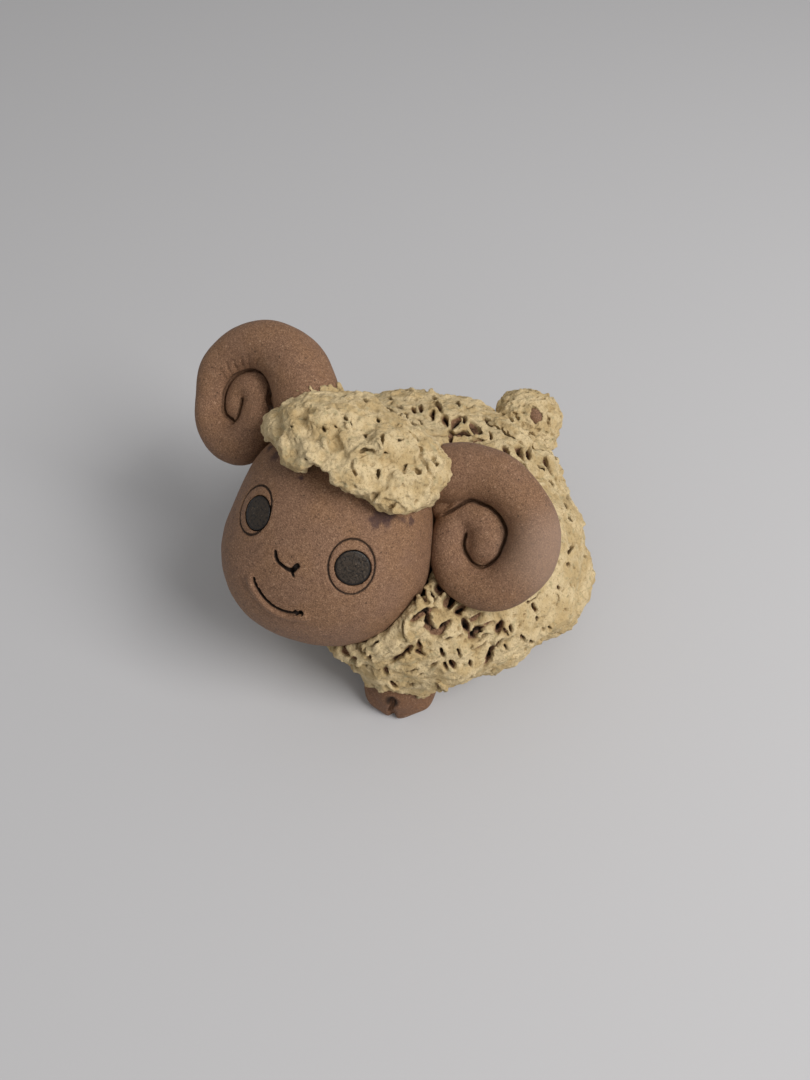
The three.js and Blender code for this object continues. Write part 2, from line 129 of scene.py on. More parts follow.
def ray_of(pixel):
    """The way from the camera through a pixel of the photograph."""
    x = (pixel[0] - PHOTO_WIDTH / 2) / FOCAL_PIXELS
    y = (PHOTO_HEIGHT / 2 - pixel[1]) / FOCAL_PIXELS
    ray = CAMERA_AXES @ (x, y, -1)
    return ray / np.linalg.norm(ray)


def on_photo(points):
    """The pixels at which the camera sees points, and the millimetres that one pixel spans there."""
    local = (points - CAMERA_PLACE) @ CAMERA_AXES
    away = -local[:, 2]
    pixels = local[:, :2] / away[:, None] * FOCAL_PIXELS
    return pixels * (1, -1) + (PHOTO_WIDTH / 2, PHOTO_HEIGHT / 2), away / FOCAL_PIXELS


def on_plane(pixel, place, normal):
    """The point of a plane that the camera sees at a pixel."""
    ray = ray_of(pixel)
    return CAMERA_PLACE + ray * ((place - CAMERA_PLACE) @ normal) / (ray @ normal)


def outline_gap(pixels, outline):
    """How far pixels lie outside a closed outline, negative inside."""
    outline = np.asarray(outline, float)
    gap = np.full(len(pixels), np.inf)
    inside = np.zeros(len(pixels), bool)
    for a, b in zip(outline, np.roll(outline, -1, axis=0)):
        side = b - a
        share = np.clip((pixels - a) @ side / (side @ side), 0, 1)
        gap = np.minimum(gap, np.linalg.norm(pixels - a - share[:, None] * side, axis=1))
        crosses = (a[1] > pixels[:, 1]) != (b[1] > pixels[:, 1])
        rise = side[1] if side[1] else TINY
        inside ^= crosses & (pixels[:, 0] < a[0] + side[0] * (pixels[:, 1] - a[1]) / rise)
    return np.where(inside, -gap, gap)


# Skins: a skin is an array of points and an array of triangles

def read(rows, name, kind=np.float32):
    """The three numbers that each row of a mesh has under a name."""
    values = np.empty(len(rows) * 3, kind)
    rows.foreach_get(name, values)
    return values.reshape(-1, 3)


def triangles_of(mesh):
    mesh.calc_loop_triangles()
    return read(mesh.loop_triangles, "vertices", np.int32)


def node_skin(node):
    """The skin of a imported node, in millimetres."""
    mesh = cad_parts[node].data
    return read(mesh.vertices, "co") / MM, triangles_of(mesh)


def hull_skin(skin):
    """The skin stretched over its hollows."""
    shape = bmesh.new()
    for point in np.unique(skin[0].round(4), axis=0):
        shape.verts.new(point)
    bmesh.ops.convex_hull(shape, input=shape.verts[:])
    bmesh.ops.delete(shape, geom=[v for v in shape.verts if not v.link_faces], context="VERTS")
    bmesh.ops.triangulate(shape, faces=shape.faces[:])
    shape.verts.index_update()
    points = np.array([v.co for v in shape.verts], np.float32)
    faces = np.array([[v.index for v in f.verts] for f in shape.faces], np.int32)
    shape.free()
    return points, faces


def split_quads(skin):
    """The skin with each quad as two triangles."""
    points, quads = skin
    return points, np.concatenate((quads[:, [0, 1, 2]], quads[:, [0, 2, 3]])).astype(np.int32)


def without_scraps(skin, keep=None):
    """The largest connected part of a skin of quads, and the other parts whose middle keep() wants."""
    points, quads = skin
    sides = np.concatenate((quads[:, :2], quads[:, 1:3], quads[:, 2:]))
    part = np.arange(len(points))
    changed = True
    while changed:
        least = np.minimum(part[sides[:, 0]], part[sides[:, 1]])
        joined = part.copy()
        np.minimum.at(joined, part[sides[:, 0]], least)
        np.minimum.at(joined, part[sides[:, 1]], least)
        joined = joined[joined]
        changed = (joined != part).any()
        part = joined
    names, counts = np.unique(part, return_counts=True)
    kept = {names[counts.argmax()]}
    if keep is not None:
        kept.update(name for name in names if keep(points[part == name].mean(0)))
    chosen = np.isin(part, list(kept))
    order = np.cumsum(chosen) - 1
    return points[chosen], order[quads[chosen[quads[:, 0]]]].astype(np.int32)


def tree_of(skin):
    return BVHTree.FromPolygons(skin[0].tolist(), skin[1].tolist())


def outline_miss(tree, pixel, middle):
    """How far a pixel's ray passes outside a skin, negative inside, and the skin's point next to it."""
    start, ray = Vector(CAMERA_PLACE), Vector(ray_of(pixel))
    entry = tree.ray_cast(start, ray)[0]
    if entry is not None:
        chord = tree.ray_cast(entry + ray * FOLLOW_SKIP, ray)[3] or 0
        place, _, _, gap = tree.find_nearest(entry + ray * (chord / 2))
        return -gap, place
    far = (Vector(middle) - start) @ ray
    probes = np.arange(far - FOLLOW_SPAN, far + FOLLOW_SPAN, FOLLOW_STEP)
    found = [tree.find_nearest(start + ray * reached) for reached in probes]
    place, _, _, gap = min(found, key=lambda nearest: nearest[3])
    return gap, place


def follow(skin, outline, reach, rounds=3):
    """Draws a skin out or in until its outline passes through pixels of the photograph."""
    points, faces = skin
    middle = (points.min(0) + points.max(0)) / 2
    for _ in range(rounds):
        tree = tree_of((points, faces))
        push = np.zeros(len(points))
        total = np.ones(len(points)) * 1e-6
        for pixel in outline:
            miss, place = outline_miss(tree, pixel, middle)
            weight = np.exp(-((points - np.array(place)) ** 2).sum(1) / (2 * reach**2))
            push += weight * np.clip(miss, -FOLLOW_MOST, FOLLOW_MOST)
            total += weight
        out = points - middle
        out /= np.linalg.norm(out, axis=1, keepdims=True)
        points = points + out * (push / np.maximum(total, 1))[:, None]
    return points.astype(np.float32), faces


def points_tree(points):
    tree = KDTree(len(points))
    for i, point in enumerate(points):
        tree.insert(point, i)
    tree.balance()
    return tree


def node_middle(node):
    low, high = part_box(node)
    return np.array((low + high) / 2) / MM


# Noise

NOISE_CELLS = 64
NOISE_MASK = NOISE_CELLS - 1
RANDOM = np.random.default_rng(SEED).uniform(-1, 1, NOISE_CELLS**3).astype(np.float32)
TWIST = turn(33, 51, 17)
NOISE_SHIFT = 7.31
CRUMB_STRIDE = 7


def noise(points, size, seed=0):
    """Smooth noise between -1 and 1, with lumps of a size in millimetres."""
    cell = (points @ TWIST / size + NOISE_SHIFT * seed).astype(np.float32)
    base = np.floor(cell)
    part = cell - base
    ease = part * part * (3 - 2 * part)
    base = base.astype(np.int32)
    steps = []
    for i in range(3):
        stride = NOISE_CELLS ** (2 - i)
        steps.append([(base[:, i] + side & NOISE_MASK) * stride for side in (0, 1)])
    shares = [(1 - ease[:, i], ease[:, i]) for i in range(3)]
    total = np.zeros(len(points), np.float32)
    for i, j, k in itertools.product((0, 1), repeat=3):
        corner = RANDOM[steps[0][i] + steps[1][j] + steps[2][k]]
        total += shares[0][i] * shares[1][j] * shares[2][k] * corner
    return total


def rough(points, size, octaves, seed=0):
    """Noise with finer and weaker noise laid over it."""
    return sum(noise(points, size / 2**i, seed + i) / 2**i for i in range(octaves))


def lumps(rows, start=0):
    """A sum of noises, each given by its height, the size of its lumps and its seed."""
    return lambda points: sum((high * noise(points, size, seed) for high, size, seed in rows), start)


def crumbs(points, size):
    """Rounded crumbs of a size in millimetres: 1 in the middle of each, near 0 between them."""
    cell = points / size
    base = np.floor(cell).astype(int)
    least = np.full(len(points), np.inf)
    for corner in itertools.product((-1, 0, 1), repeat=3):
        near = base + corner
        x, y, z = (near & NOISE_MASK).T
        key = (x * NOISE_CELLS + y) * NOISE_CELLS + z
        jitter = [RANDOM[(key * CRUMB_STRIDE**axis + axis) % len(RANDOM)] for axis in range(3)]
        middle = near + 0.5 + 0.5 * np.stack(jitter, axis=1)
        least = np.minimum(least, ((middle - cell) ** 2).sum(1))
    return 1 - np.sqrt(least)


# Clay

def soft_least(a, b, blend):
    """The lesser of two fields, with a fillet where they meet."""
    if blend <= 0:
        return np.minimum(a, b)
    share = np.clip(blend - np.abs(a - b), 0, None) / blend
    return np.minimum(a, b) - share * share * blend / 4


class Clay:
    """A lump of clay as signed distances to its skin on a grid."""

    def __init__(self, skin, step, empty=False):
        self.step = step
        self.first = np.floor((skin[0].min(0) - GRID_MARGIN) / step).astype(int)
        last = np.ceil((skin[0].max(0) + GRID_MARGIN) / step).astype(int)
        self.field = np.full(last - self.first + 1, FAR, np.float32)
        if not empty:
            self.add(skin)

    def distances(self, skin, band):
        """Signed distances to any skin, on this grid, true within a band of steps."""
        points, triangles = skin
        grid = openvdb.FloatGrid.createLevelSetFromPolygons(
            np.ascontiguousarray(points, np.float32),
            triangles=np.ascontiguousarray(triangles, np.int32),
            transform=openvdb.createLinearTransform(self.step),
            halfWidth=band,
        )
        field = np.empty(self.field.shape, np.float32)
        grid.copyToArray(field, ijk=tuple(int(i) for i in self.first))
        return field

    def add(self, skin, blend=0.0):
        self.field = soft_least(self.field, self.distances(skin, FAR / self.step), blend)

    def cut(self, skin, gap=LUTE_GAP):
        self.field = np.maximum(self.field, gap - self.distances(skin, CUT_BAND))

    def blur(self, width):
        """Smooths the facets away over a width in millimetres."""
        half = max(1, round(width / self.step / 2))
        for axis in range(3):
            for _ in range(2):
                edge = [(0, 0)] * 3
                edge[axis] = (half + 1, half)
                total = np.cumsum(np.pad(self.field, edge, mode="edge"), axis=axis, dtype=np.float64)
                count = self.field.shape[axis]
                upper = np.take(total, range(2 * half + 1, 2 * half + 1 + count), axis=axis)
                lower = np.take(total, range(count), axis=axis)
                self.field = ((upper - lower) / (2 * half + 1)).astype(np.float32)

    def swell(self, push):
        """Moves the skin out by push(points), in millimetres."""
        near = np.argwhere(np.abs(self.field) < SWELL_BAND)
        self.field[tuple(near.T)] -= push((near + self.first) * self.step)

    def sample(self, points, field=None):
        """The field at any points."""
        field = self.field if field is None else field
        cell = np.clip(points / self.step - self.first, 0, np.array(field.shape) - 1.001)
        base = cell.astype(int)
        part = cell - base
        total = np.zeros(len(points))
        for corner in itertools.product((0, 1), repeat=3):
            place = base + corner
            weight = np.where(corner, part, 1 - part).prod(axis=1)
            total += weight * field[place[:, 0], place[:, 1], place[:, 2]]
        return total

    def normals(self, points):
        """The way out of the clay at any points."""
        reach = 1.5 * self.step
        slope = np.stack(
            [self.sample(points + reach * e) - self.sample(points - reach * e) for e in np.eye(3)], axis=1
        )
        return slope / (np.linalg.norm(slope, axis=1, keepdims=True) + TINY)

    def settle(self, points):
        """Points moved on to the skin."""
        for _ in range(3):
            points = points - self.normals(points) * self.sample(points)[:, None]
        return points

    def ball(self, centre, axes, half):
        """Distances to an ellipsoid, and the part of the grid that it can reach."""
        reach = max(half) + 2 * self.step + 0.6
        low = np.floor((centre - reach) / self.step).astype(int) - self.first
        high = np.ceil((centre + reach) / self.step).astype(int) - self.first + 1
        low, high = np.clip((low, high), 0, self.field.shape)
        window = tuple(slice(a, b) for a, b in zip(low, high))
        x, y, z = np.ix_(*[
            (np.arange(a, b) + first) * self.step - middle
            for a, b, first, middle in zip(low, high, self.first, centre)
        ])
        level = sum(((a * x + b * y + c * z) / size) ** 2 for (a, b, c), size in zip(axes, half))
        return window, ((np.sqrt(level) - 1) * min(half)).astype(np.float32)

    def stick(self, centre, axes, half, blend=0.3):
        """Adds a pellet."""
        window, pellet = self.ball(centre, axes, half)
        self.field[window] = soft_least(self.field[window], pellet, blend)

    def press(self, centre, axes, half, blend=0.1):
        """Presses a dent."""
        window, tool = self.ball(centre, axes, half)
        self.field[window] = -soft_least(-self.field[window], tool, blend)

    def seen(self, pixels):
        """The points of the skin that the camera sees at pixels of the photograph."""
        middle = (np.array(self.field.shape) / 2 + self.first) * self.step
        span = np.linalg.norm(self.field.shape) * self.step / 2
        places = []
        for pixel in pixels:
            ray = ray_of(pixel)
            far = (middle - CAMERA_PLACE) @ ray
            line = CAMERA_PLACE + np.arange(far - span, far + span, self.step / 2)[:, None] * ray
            inside = np.flatnonzero(self.sample(line) < 0)
            if len(inside):
                places.append(line[inside[0]])
        return np.array(places)

    def within(self, outline):
        """Cuts away what the camera would see outside a closed outline."""
        near = np.argwhere(self.field < WITHIN_BAND)
        pixels, span = on_photo((near + self.first) * self.step)
        pixels = pixels.round().astype(int)
        corner = pixels.min(0)
        shape = pixels.max(0) - corner + 1
        table = np.indices(shape).reshape(2, -1).T + corner
        gaps = outline_gap(table, outline).reshape(shape)
        place = tuple(near.T)
        self.field[place] = np.maximum(self.field[place], gaps[tuple((pixels - corner).T)] * span)

    def skin(self):
        """The skin, as points and quads."""
        grid = openvdb.FloatGrid(FAR)
        grid.copyFromArray(self.field)
        points, quads = grid.convertToQuads(0.0)
        return (points + self.first) * self.step, quads[:, ::-1].astype(np.int32)


def frames_along(path, normals):
    """Axes along, across and out of the skin at each point of a path."""
    along = np.gradient(path, axis=0)
    along -= normals * (along * normals).sum(1, keepdims=True)
    along /= np.linalg.norm(along, axis=1, keepdims=True) + TINY
    return np.stack((along, np.cross(normals, along), normals), axis=1)


def spaced(corners, spacing):
    """A smooth line through corners, with points at a spacing."""
    corners = np.asarray(corners, float)
    ends = np.concatenate((2 * corners[:1] - corners[1:2], corners, 2 * corners[-1:] - corners[-2:-1]))
    line = []
    for a, b, c, d in zip(ends, ends[1:], ends[2:], ends[3:]):
        count = max(2, math.ceil(np.linalg.norm(c - b) / spacing))
        for t in np.arange(count) / count:
            line.append(0.5 * (2 * b + (c - a) * t + (2 * a - 5 * b + 4 * c - d) * t**2
                               + (3 * b - a - 3 * c + d) * t**3))
    return np.array(line + [corners[-1]])


# Materials

def tone(red, green, blue):
    """A colour as it is written on a screen, from 0 to 255, as linear light."""
    channels = [c / 255 for c in (red, green, blue)]
    linear = [c / 12.92 if c <= 0.04045 else ((c + 0.055) / 1.055) ** 2.4 for c in channels]
    return (*linear, 1.0)


class Shade:
    """Nodes of one material."""

    def __init__(self, name):
        self.material = bpy.data.materials.new(name)
        self.material.use_nodes = True
        self.tree = self.material.node_tree
        self.shader = self.tree.nodes["Principled BSDF"]
        self.place = self.node("ShaderNodeTexCoord").outputs["Object"]

    def node(self, kind, links=None, **settings):
        fresh = self.tree.nodes.new(kind)
        for key, value in settings.items():
            setattr(fresh, key, value)
        for key, value in (links or {}).items():
            self.feed(fresh.inputs[key], value)
        return fresh

    def feed(self, socket, value):
        if isinstance(value, bpy.types.NodeSocket):
            self.tree.links.new(value, socket)
        else:
            socket.default_value = value

    def noise(self, size, detail=2.0, roughness=0.5):
        """Noise between 0 and 1 with lumps of a size in millimetres."""
        links = {"Vector": self.place, "Scale": 1 / (size * MM), "Detail": detail, "Roughness": roughness}
        return self.node("ShaderNodeTexNoise", links).outputs["Fac"]

    def grains(self, size):
        """Distance to the middle of the nearest grain, and a random number for each grain."""
        links = {"Vector": self.place, "Scale": 1 / (size * MM)}
        cells = self.node("ShaderNodeTexVoronoi", links).outputs
        return cells["Distance"], self.node("ShaderNodeSeparateColor", {0: cells["Color"]}).outputs[0]

    def between(self, value, low, high):
        """0 below low, 1 above high and a ramp between; either way round."""
        links = {"Value": value, "From Min": low, "From Max": high}
        return self.node("ShaderNodeMapRange", links, interpolation_type="SMOOTHSTEP").outputs["Result"]

    def sum(self, a, b, operation="ADD"):
        return self.node("ShaderNodeMath", {0: a, 1: b}, operation=operation).outputs[0]

    def times(self, a, b):
        return self.sum(a, b, "MULTIPLY")

    def mix(self, share, a, b):
        return self.node("ShaderNodeMix", {0: share, 6: a, 7: b}, data_type="RGBA").outputs[2]

    def attribute(self, name):
        return self.node("ShaderNodeAttribute", attribute_name=name).outputs["Fac"]

    def bump(self, height, distance, strength=1.0, under=None):
        links = {"Height": height, "Distance": distance * MM, "Strength": strength}
        if under is not None:
            links["Normal"] = under
        return self.node("ShaderNodeBump", links).outputs["Normal"]

    def finish(self, colour, roughness, normal, specular=0.3):
        self.feed(self.shader.inputs["Base Color"], colour)
        self.feed(self.shader.inputs["Roughness"], roughness)
        self.feed(self.shader.inputs["Normal"], normal)
        self.shader.inputs["Specular IOR Level"].default_value = specular
        return self.material


CLAY_TONE = tone(132, 100, 78)
CLAY_WARM = tone(136, 102, 75)
CLAY_DARK = tone(92, 66, 49)
CLAY_PALE = tone(168, 135, 108)
CLAY_TINT_AND_SHADE = tone(108, 70, 44)
CLAY_BLACK_GRAIN_AND_SHADE = tone(28, 20, 16)
CLAY_HIGHLIGHT = tone(160, 136, 119)
CLAY_STAIN = tone(58, 40, 44)
WOOL_TONE = tone(212, 191, 150)
WOOL_DEEP = tone(190, 166, 122)
WOOL_GREY = tone(182, 166, 128)
WOOL_HOLLOW = tone(138, 113, 76)
INLAY_TONE = tone(56, 47, 38)
INLAY_DARK = tone(26, 22, 19)
INLAY_PALE = tone(98, 84, 68)
INLAY_RIM = tone(20, 18, 18)


def clay_colour(shade):
    """Brown stoneware: mottled, with dark and pale grains of grog."""
    base = shade.mix(shade.between(shade.noise(9, 3), 0.35, 0.65), CLAY_TONE, CLAY_WARM)
    # Per piece: a warmer, darker tint on the horns, and painted shade from the coat on the feet
    base = shade.mix(shade.attribute("rust"), base, CLAY_TINT_AND_SHADE)
    mottle = shade.noise(1.3, 3, 0.6)
    base = shade.mix(shade.times(shade.between(mottle, 0.48, 0.3), 0.4), base, CLAY_DARK)
    base = shade.mix(shade.times(shade.between(mottle, 0.55, 0.75), 0.4), base, CLAY_PALE)
    fine = shade.noise(0.32, 3, 0.8)
    base = shade.mix(shade.between(fine, 0.52, 0.34), base, CLAY_DARK)
    base = shade.mix(shade.between(fine, 0.52, 0.7), base, CLAY_PALE)
    distance, pick = shade.grains(0.9)
    grain = shade.between(distance, 0.34, 0.2)
    pale = shade.times(grain, shade.between(pick, 0.94, 0.96))
    base = shade.mix(shade.times(pale, 0.7), base, CLAY_PALE)
    dark = shade.times(grain, shade.between(pick, 0.06, 0.04))
    return shade.mix(shade.times(dark, 0.5), base, CLAY_BLACK_GRAIN_AND_SHADE), fine


def stoneware():
    shade = Shade("brown_stoneware")
    colour, fine = clay_colour(shade)
    # Painted highlight on the horn
    colour = shade.mix(shade.attribute("bloom"), colour, CLAY_HIGHLIGHT)
    colour = shade.mix(shade.attribute("stain"), colour, CLAY_STAIN)
    # Painted shade, nearly black, in cut lines, creases and holes
    colour = shade.mix(shade.attribute("soot"), colour, CLAY_BLACK_GRAIN_AND_SHADE)
    grit = shade.bump(fine, 0.28, 0.9)
    rub = shade.bump(shade.noise(2.2, 2), 0.15, 0.35, grit)
    return shade.finish(colour, shade.between(fine, -0.5, 1.2), rub, 0.25)


def cream_wool():
    shade = Shade("cream_wool")
    clay, fine = clay_colour(shade)
    wool = shade.mix(shade.between(shade.noise(5, 3), 0.38, 0.62), WOOL_TONE, WOOL_DEEP)
    wool = shade.mix(shade.between(shade.noise(1.6, 2), 0.55, 0.72), wool, WOOL_GREY)
    crumb = shade.noise(0.6, 4, 0.7)
    # The low spots of the crumbly and fine relief, and the hollows below the old surface, are darkened
    # with painted shade
    wool = shade.mix(shade.between(crumb, 0.45, 0.28), wool, WOOL_HOLLOW)
    speck = shade.times(shade.between(fine, 0.46, 0.3), 0.6)
    wool = shade.mix(speck, wool, WOOL_HOLLOW)
    wool = shade.mix(shade.times(shade.attribute("hollow"), 0.7), wool, WOOL_HOLLOW)
    ragged = shade.sum(shade.attribute("bare"), shade.sum(crumb, -0.5))
    colour = shade.mix(shade.between(ragged, 0.35, 0.65), wool, clay)
    # Painted shadow, nearly black, under the torn edges of the gouges
    colour = shade.mix(shade.attribute("soot"), colour, CLAY_BLACK_GRAIN_AND_SHADE)
    cells, _ = shade.grains(0.9)
    torn = shade.bump(shade.sum(1, cells, "SUBTRACT"), 0.3, 0.8)
    grit = shade.bump(crumb, 0.5, 0.9, torn)
    return shade.finish(colour, 0.92, shade.bump(fine, 0.12, 0.6, grit), 0.2)


def dark_inlay():
    shade = Shade("dark_inlay")
    fine = shade.noise(0.5, 3, 0.7)
    base = shade.mix(shade.between(fine, 0.35, 0.6), INLAY_DARK, INLAY_TONE)
    distance, pick = shade.grains(0.6)
    speck = shade.times(shade.between(distance, 0.4, 0.2), shade.between(pick, 0.8, 0.85))
    colour = shade.mix(shade.times(speck, 0.5), base, INLAY_PALE)
    # Painted shade, nearly black, along the pupil's edge
    colour = shade.mix(shade.attribute("soot"), colour, INLAY_RIM)
    return shade.finish(colour, shade.between(fine, -0.2, 1.4), shade.bump(fine, 0.16, 0.8), 0.25)


MATERIALS = {"brown_stoneware": stoneware(), "cream_wool": cream_wool(), "dark_inlay": dark_inlay()}

# Pieces: what is made so far, so that later pieces are cut to fit it
made = {}


def thinned(mesh):
    """The mesh with fewer faces where it is flat, when it has too many."""
    mesh.calc_loop_triangles()
    ratio = MOST_TRIANGLES / len(mesh.loop_triangles)
    if ratio >= 1:
        return mesh
    piece = bpy.data.objects.new("thinned", mesh)
    bpy.context.scene.collection.objects.link(piece)
    piece.modifiers.new("thin", "DECIMATE").ratio = ratio
    depsgraph = bpy.context.evaluated_depsgraph_get()
    thin = bpy.data.meshes.new_from_object(piece.evaluated_get(depsgraph))
    bpy.data.objects.remove(piece)
    return thin


def make_piece(node, skin, slot, grit, **attributes):
    """A piece from a skin: grit(points) moves it along its normals, and attributes are drawn on it."""
    mesh = bpy.data.meshes.new(node)
    mesh.from_pydata(skin[0].tolist(), [], skin[1].tolist())
    mesh.update()
    mesh = thinned(mesh)
    points = read(mesh.vertices, "co")
    values = {name: np.asarray(draw(points), np.float32) for name, draw in attributes.items()}
    points = points + read(mesh.vertices, "normal") * grit(points)[:, None]
    mesh.vertices.foreach_set("co", (points * MM).astype(np.float32).ravel())
    for name, value in values.items():
        mesh.attributes.new(name, "FLOAT", "POINT").data.foreach_set("value", value)
    mesh.shade_smooth()
    mesh.materials.clear()
    mesh.materials.append(MATERIALS[slot])
    mesh.update()
    mesh.name = node
    piece = bpy.data.objects.new(node + "_clay", mesh)
    bpy.context.scene.collection.objects.link(piece)
    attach(piece, "root")
    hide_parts(node)
    made[node] = points, triangles_of(mesh)


# The small unevenness that fingers leave on smooth clay, and the grain of the inlay
clay_grit = lumps([(0.1, 7, 3), (0.04, 2.2, 5)])
inlay_grit = lumps([(0.04, 1.2, 0)])


def step_up(values, low, high):
    """0 at low, 1 at high and a smooth step between; either way round."""
    share = np.clip((values - low) / (high - low), 0, 1)
    return share * share * (3 - 2 * share)


def even(share):
    return lambda points: np.full(len(points), share)


def away_from(place, points):
    return np.linalg.norm(points - place, axis=1)


def cut_to_fit(clay, *nodes):
    for node in nodes:
        clay.cut(made[node])


# Head

FACET_BLUR = 3.0
HEAD_REGAIN = 0.12
HEAD_REACH = 7
HEAD_OUTLINE = [
    (258, 452), (248, 477), (231, 513), (220, 546), (222, 568), (234, 598), (258, 625), (288, 637),
    (328, 646), (370, 640), (400, 622), (425, 586), (432, 552), (434, 520),
]
PUPILS = {
    "left": {"middle": (352.8, 567.7), "half": (18.2, 17.6), "lean": 0},
    "right": {"middle": (258.3, 513.2), "half": (11.8, 17.6), "lean": 10},
}
PUPIL_RISE = 0.25
PUPIL_DEPTH = 1.8
PUPIL_GAP = 0.12
PUPIL_BLUR = 0.3
# Painted shade along the pupil's edge: none 0.5 mm inside its outline, full from 0.2 mm inside
PUPIL_RIM = (-0.5, -0.2)

# Cut lines of the mouth and the nose, and the pits that end them: pixels along each one, and its sizes
FACE_GROOVES = [
    ([(254, 579), (256, 585), (261, 594), (268, 602), (276, 608), (286, 612), (295, 613), (302, 613)],
     {"width": 0.8, "depth": 1.3, "lip": 0.45, "fade": 0.25}),
    ([(275, 552), (276, 558), (279, 563), (284, 567), (289, 570), (294, 570)],
     {"width": 0.85, "depth": 1.3, "fade": 0.25}),
    ([(293, 571), (293, 576)], {"width": 0.7, "depth": 0.8}),
]
FACE_PITS = [
    ([(292, 570), (295, 568), (297, 566)], (0.62, 0.62, 1.3)),
    ([(297, 614), (301, 612), (302, 615)], (0.45, 0.45, 1.3)),
]
PIT_BLEND = 0.15
# How dark the painted shade in the cut lines is, the depths between which it sets in, and how far it
# reaches
LINE_SHADE = 0.97
LINE_DEPTHS = (0.05, 0.35)
LINE_REACH = 3.0
LINE_EDGE = 0.7

# Stains of oxide at pixels, with the radius of each
STAINS = {
    (378, 516): 2.2, (384, 517): 2.6, (391, 515): 1.8, (371, 518): 1.3, (399, 518): 1.1, (276, 455): 2.4,
    (270, 448): 1.8, (301, 478): 1.1, (386, 521): 2.2, (376, 521): 1.8, (402, 520): 1.3, (412, 521): 1.1,
}
STAIN_MOST = 0.95
STAIN_CORE = 0.2
stain_edge = lumps([(0.9, 1.1, 4)])
stain_fleck = lumps([(0.25, 0.6, 8)], 0.75)

# Rings cut round the eyes
EYES = {
    "left": {"middle": (351.5, 566.5), "half": (23.5, 27.8), "lean": 8},
    "right": {"middle": (255.5, 510), "half": (14.5, 25.5), "lean": 17},
}
RING_HALF = (0.6, 0.22, 0.55)
RING_BLEND = 0.05
# How dark the painted shade in the rings is, the depths between which it sets in, and how far it reaches
RING_SHADE = 0.98
RING_DEPTHS = (0.06, 0.26)
RING_REACH = 0.9


def pixel_ellipse(middle, half, lean, count=90):
    angles = np.linspace(0, 2 * math.pi, count, endpoint=False)
    x, y = half[0] * np.cos(angles), half[1] * np.sin(angles)
    c, s = math.cos(math.radians(lean)), math.sin(math.radians(lean))
    return np.stack((middle[0] + c * x - s * y, middle[1] + s * x + c * y), axis=1)


def groove(clay, corners, width, depth, lip=0.0, fade=0.5):
    """Cuts a line into smooth clay, with a lip thrown up on its right hand."""
    path = clay.settle(spaced(corners, width / 3))
    axes = frames_along(path, clay.normals(path))
    shares = np.sin(np.pi * np.linspace(0.06, 0.94, len(path))) ** fade
    if lip > 0:
        for place, axis, share in zip(path, axes, shares):
            clay.stick(place - axis[1] * width * 1.1, axis, (width, width * 0.9, lip * share + 0.05), 0.6)
    for place, axis, share in zip(path, axes, shares):
        clay.press(place, axis, (width * 0.6, width / 2, depth * share + 0.1), 0.15)
    return path


def press_line(clay, pixels, half, blend):
    """Presses equal dents where the camera sees pixels, and gives their places."""
    path = clay.settle(clay.seen(pixels))
    for place, axis in zip(path, frames_along(path, clay.normals(path))):
        clay.press(place, axis, half, blend)
    return path


def near_to(places, points, width, edge=0.35):
    """1 on a line of places, 0 beyond a width from it."""
    tree = points_tree(places)
    gap = np.full(len(points), np.inf)
    low, high = places.min(0) - width, places.max(0) + width
    for i in np.flatnonzero(((points > low) & (points < high)).all(axis=1)):
        gap[i] = tree.find(points[i])[2]
    return step_up(gap, width, width * edge)


# The skins of the pupils, which the head is cut to fit
pupils = {}


def pupil_clay(side, head, smooth):
    """A disc let into the head, as wide as the photograph shows it and a little proud of the skin."""
    clay = Clay(node_skin("pupil_" + side), PUPIL_STEP)
    places = (np.indices(clay.field.shape).reshape(3, -1).T + clay.first) * clay.step
    level = head.sample(places, smooth).reshape(clay.field.shape)
    clay.field = np.maximum(level - PUPIL_RISE, -PUPIL_DEPTH - level).astype(np.float32)
    clay.within(pixel_ellipse(**PUPILS[side]))
    clay.blur(PUPIL_BLUR)
    return clay


def make_head():
    skin = follow(hull_skin(node_skin("head")), HEAD_OUTLINE, HEAD_REACH)
    clay = Clay(skin, HEAD_STEP)
    clay.blur(FACET_BLUR)
    clay.field -= HEAD_REGAIN
    smooth = clay.field.copy()
    lines = [groove(clay, clay.seen(pixels), **sizes) for pixels, sizes in FACE_GROOVES]
    lines += [press_line(clay, pixels, half, PIT_BLEND) for pixels, half in FACE_PITS]
    lines = np.concatenate(lines)
    rings = [press_line(clay, pixel_ellipse(**eye), RING_HALF, RING_BLEND) for eye in EYES.values()]
    rings = np.concatenate(rings)
    for side in PUPILS:
        pupils[side] = pupil_clay(side, clay, smooth).skin()
        clay.cut(split_quads(pupils[side]), PUPIL_GAP)
    stains = {tuple(place): size for pixel, size in STAINS.items() for place in clay.seen([pixel])}

    # Painted shade in the cut lines and in the rings round the eyes, where they lie deep below the smooth
    # skin
    def soot(points):
        depth = -clay.sample(points, smooth)
        cut = LINE_SHADE * step_up(depth, *LINE_DEPTHS) * near_to(lines, points, LINE_REACH, LINE_EDGE)
        ring = RING_SHADE * step_up(depth, *RING_DEPTHS) * near_to(rings, points, RING_REACH)
        return np.maximum(cut, ring)

    def stain(points):
        total = np.zeros(len(points))
        for place, size in stains.items():
            away = away_from(place, points) + stain_edge(points)
            total = np.maximum(total, STAIN_MOST * step_up(away, size, STAIN_CORE * size))
        return total * stain_fleck(points)

    make_piece("head", clay.skin(), "brown_stoneware", clay_grit, soot=soot, stain=stain)


def make_pupil(side):
    outline = pixel_ellipse(**PUPILS[side])

    # Painted shade along the edge of the pupil, where it sits in the head
    def rim(points):
        pixels, span = on_photo(points)
        return step_up(outline_gap(pixels, outline) * span, *PUPIL_RIM)

    make_piece("pupil_" + side, pupils[side], "dark_inlay", inlay_grit, soot=rim)


# Horns

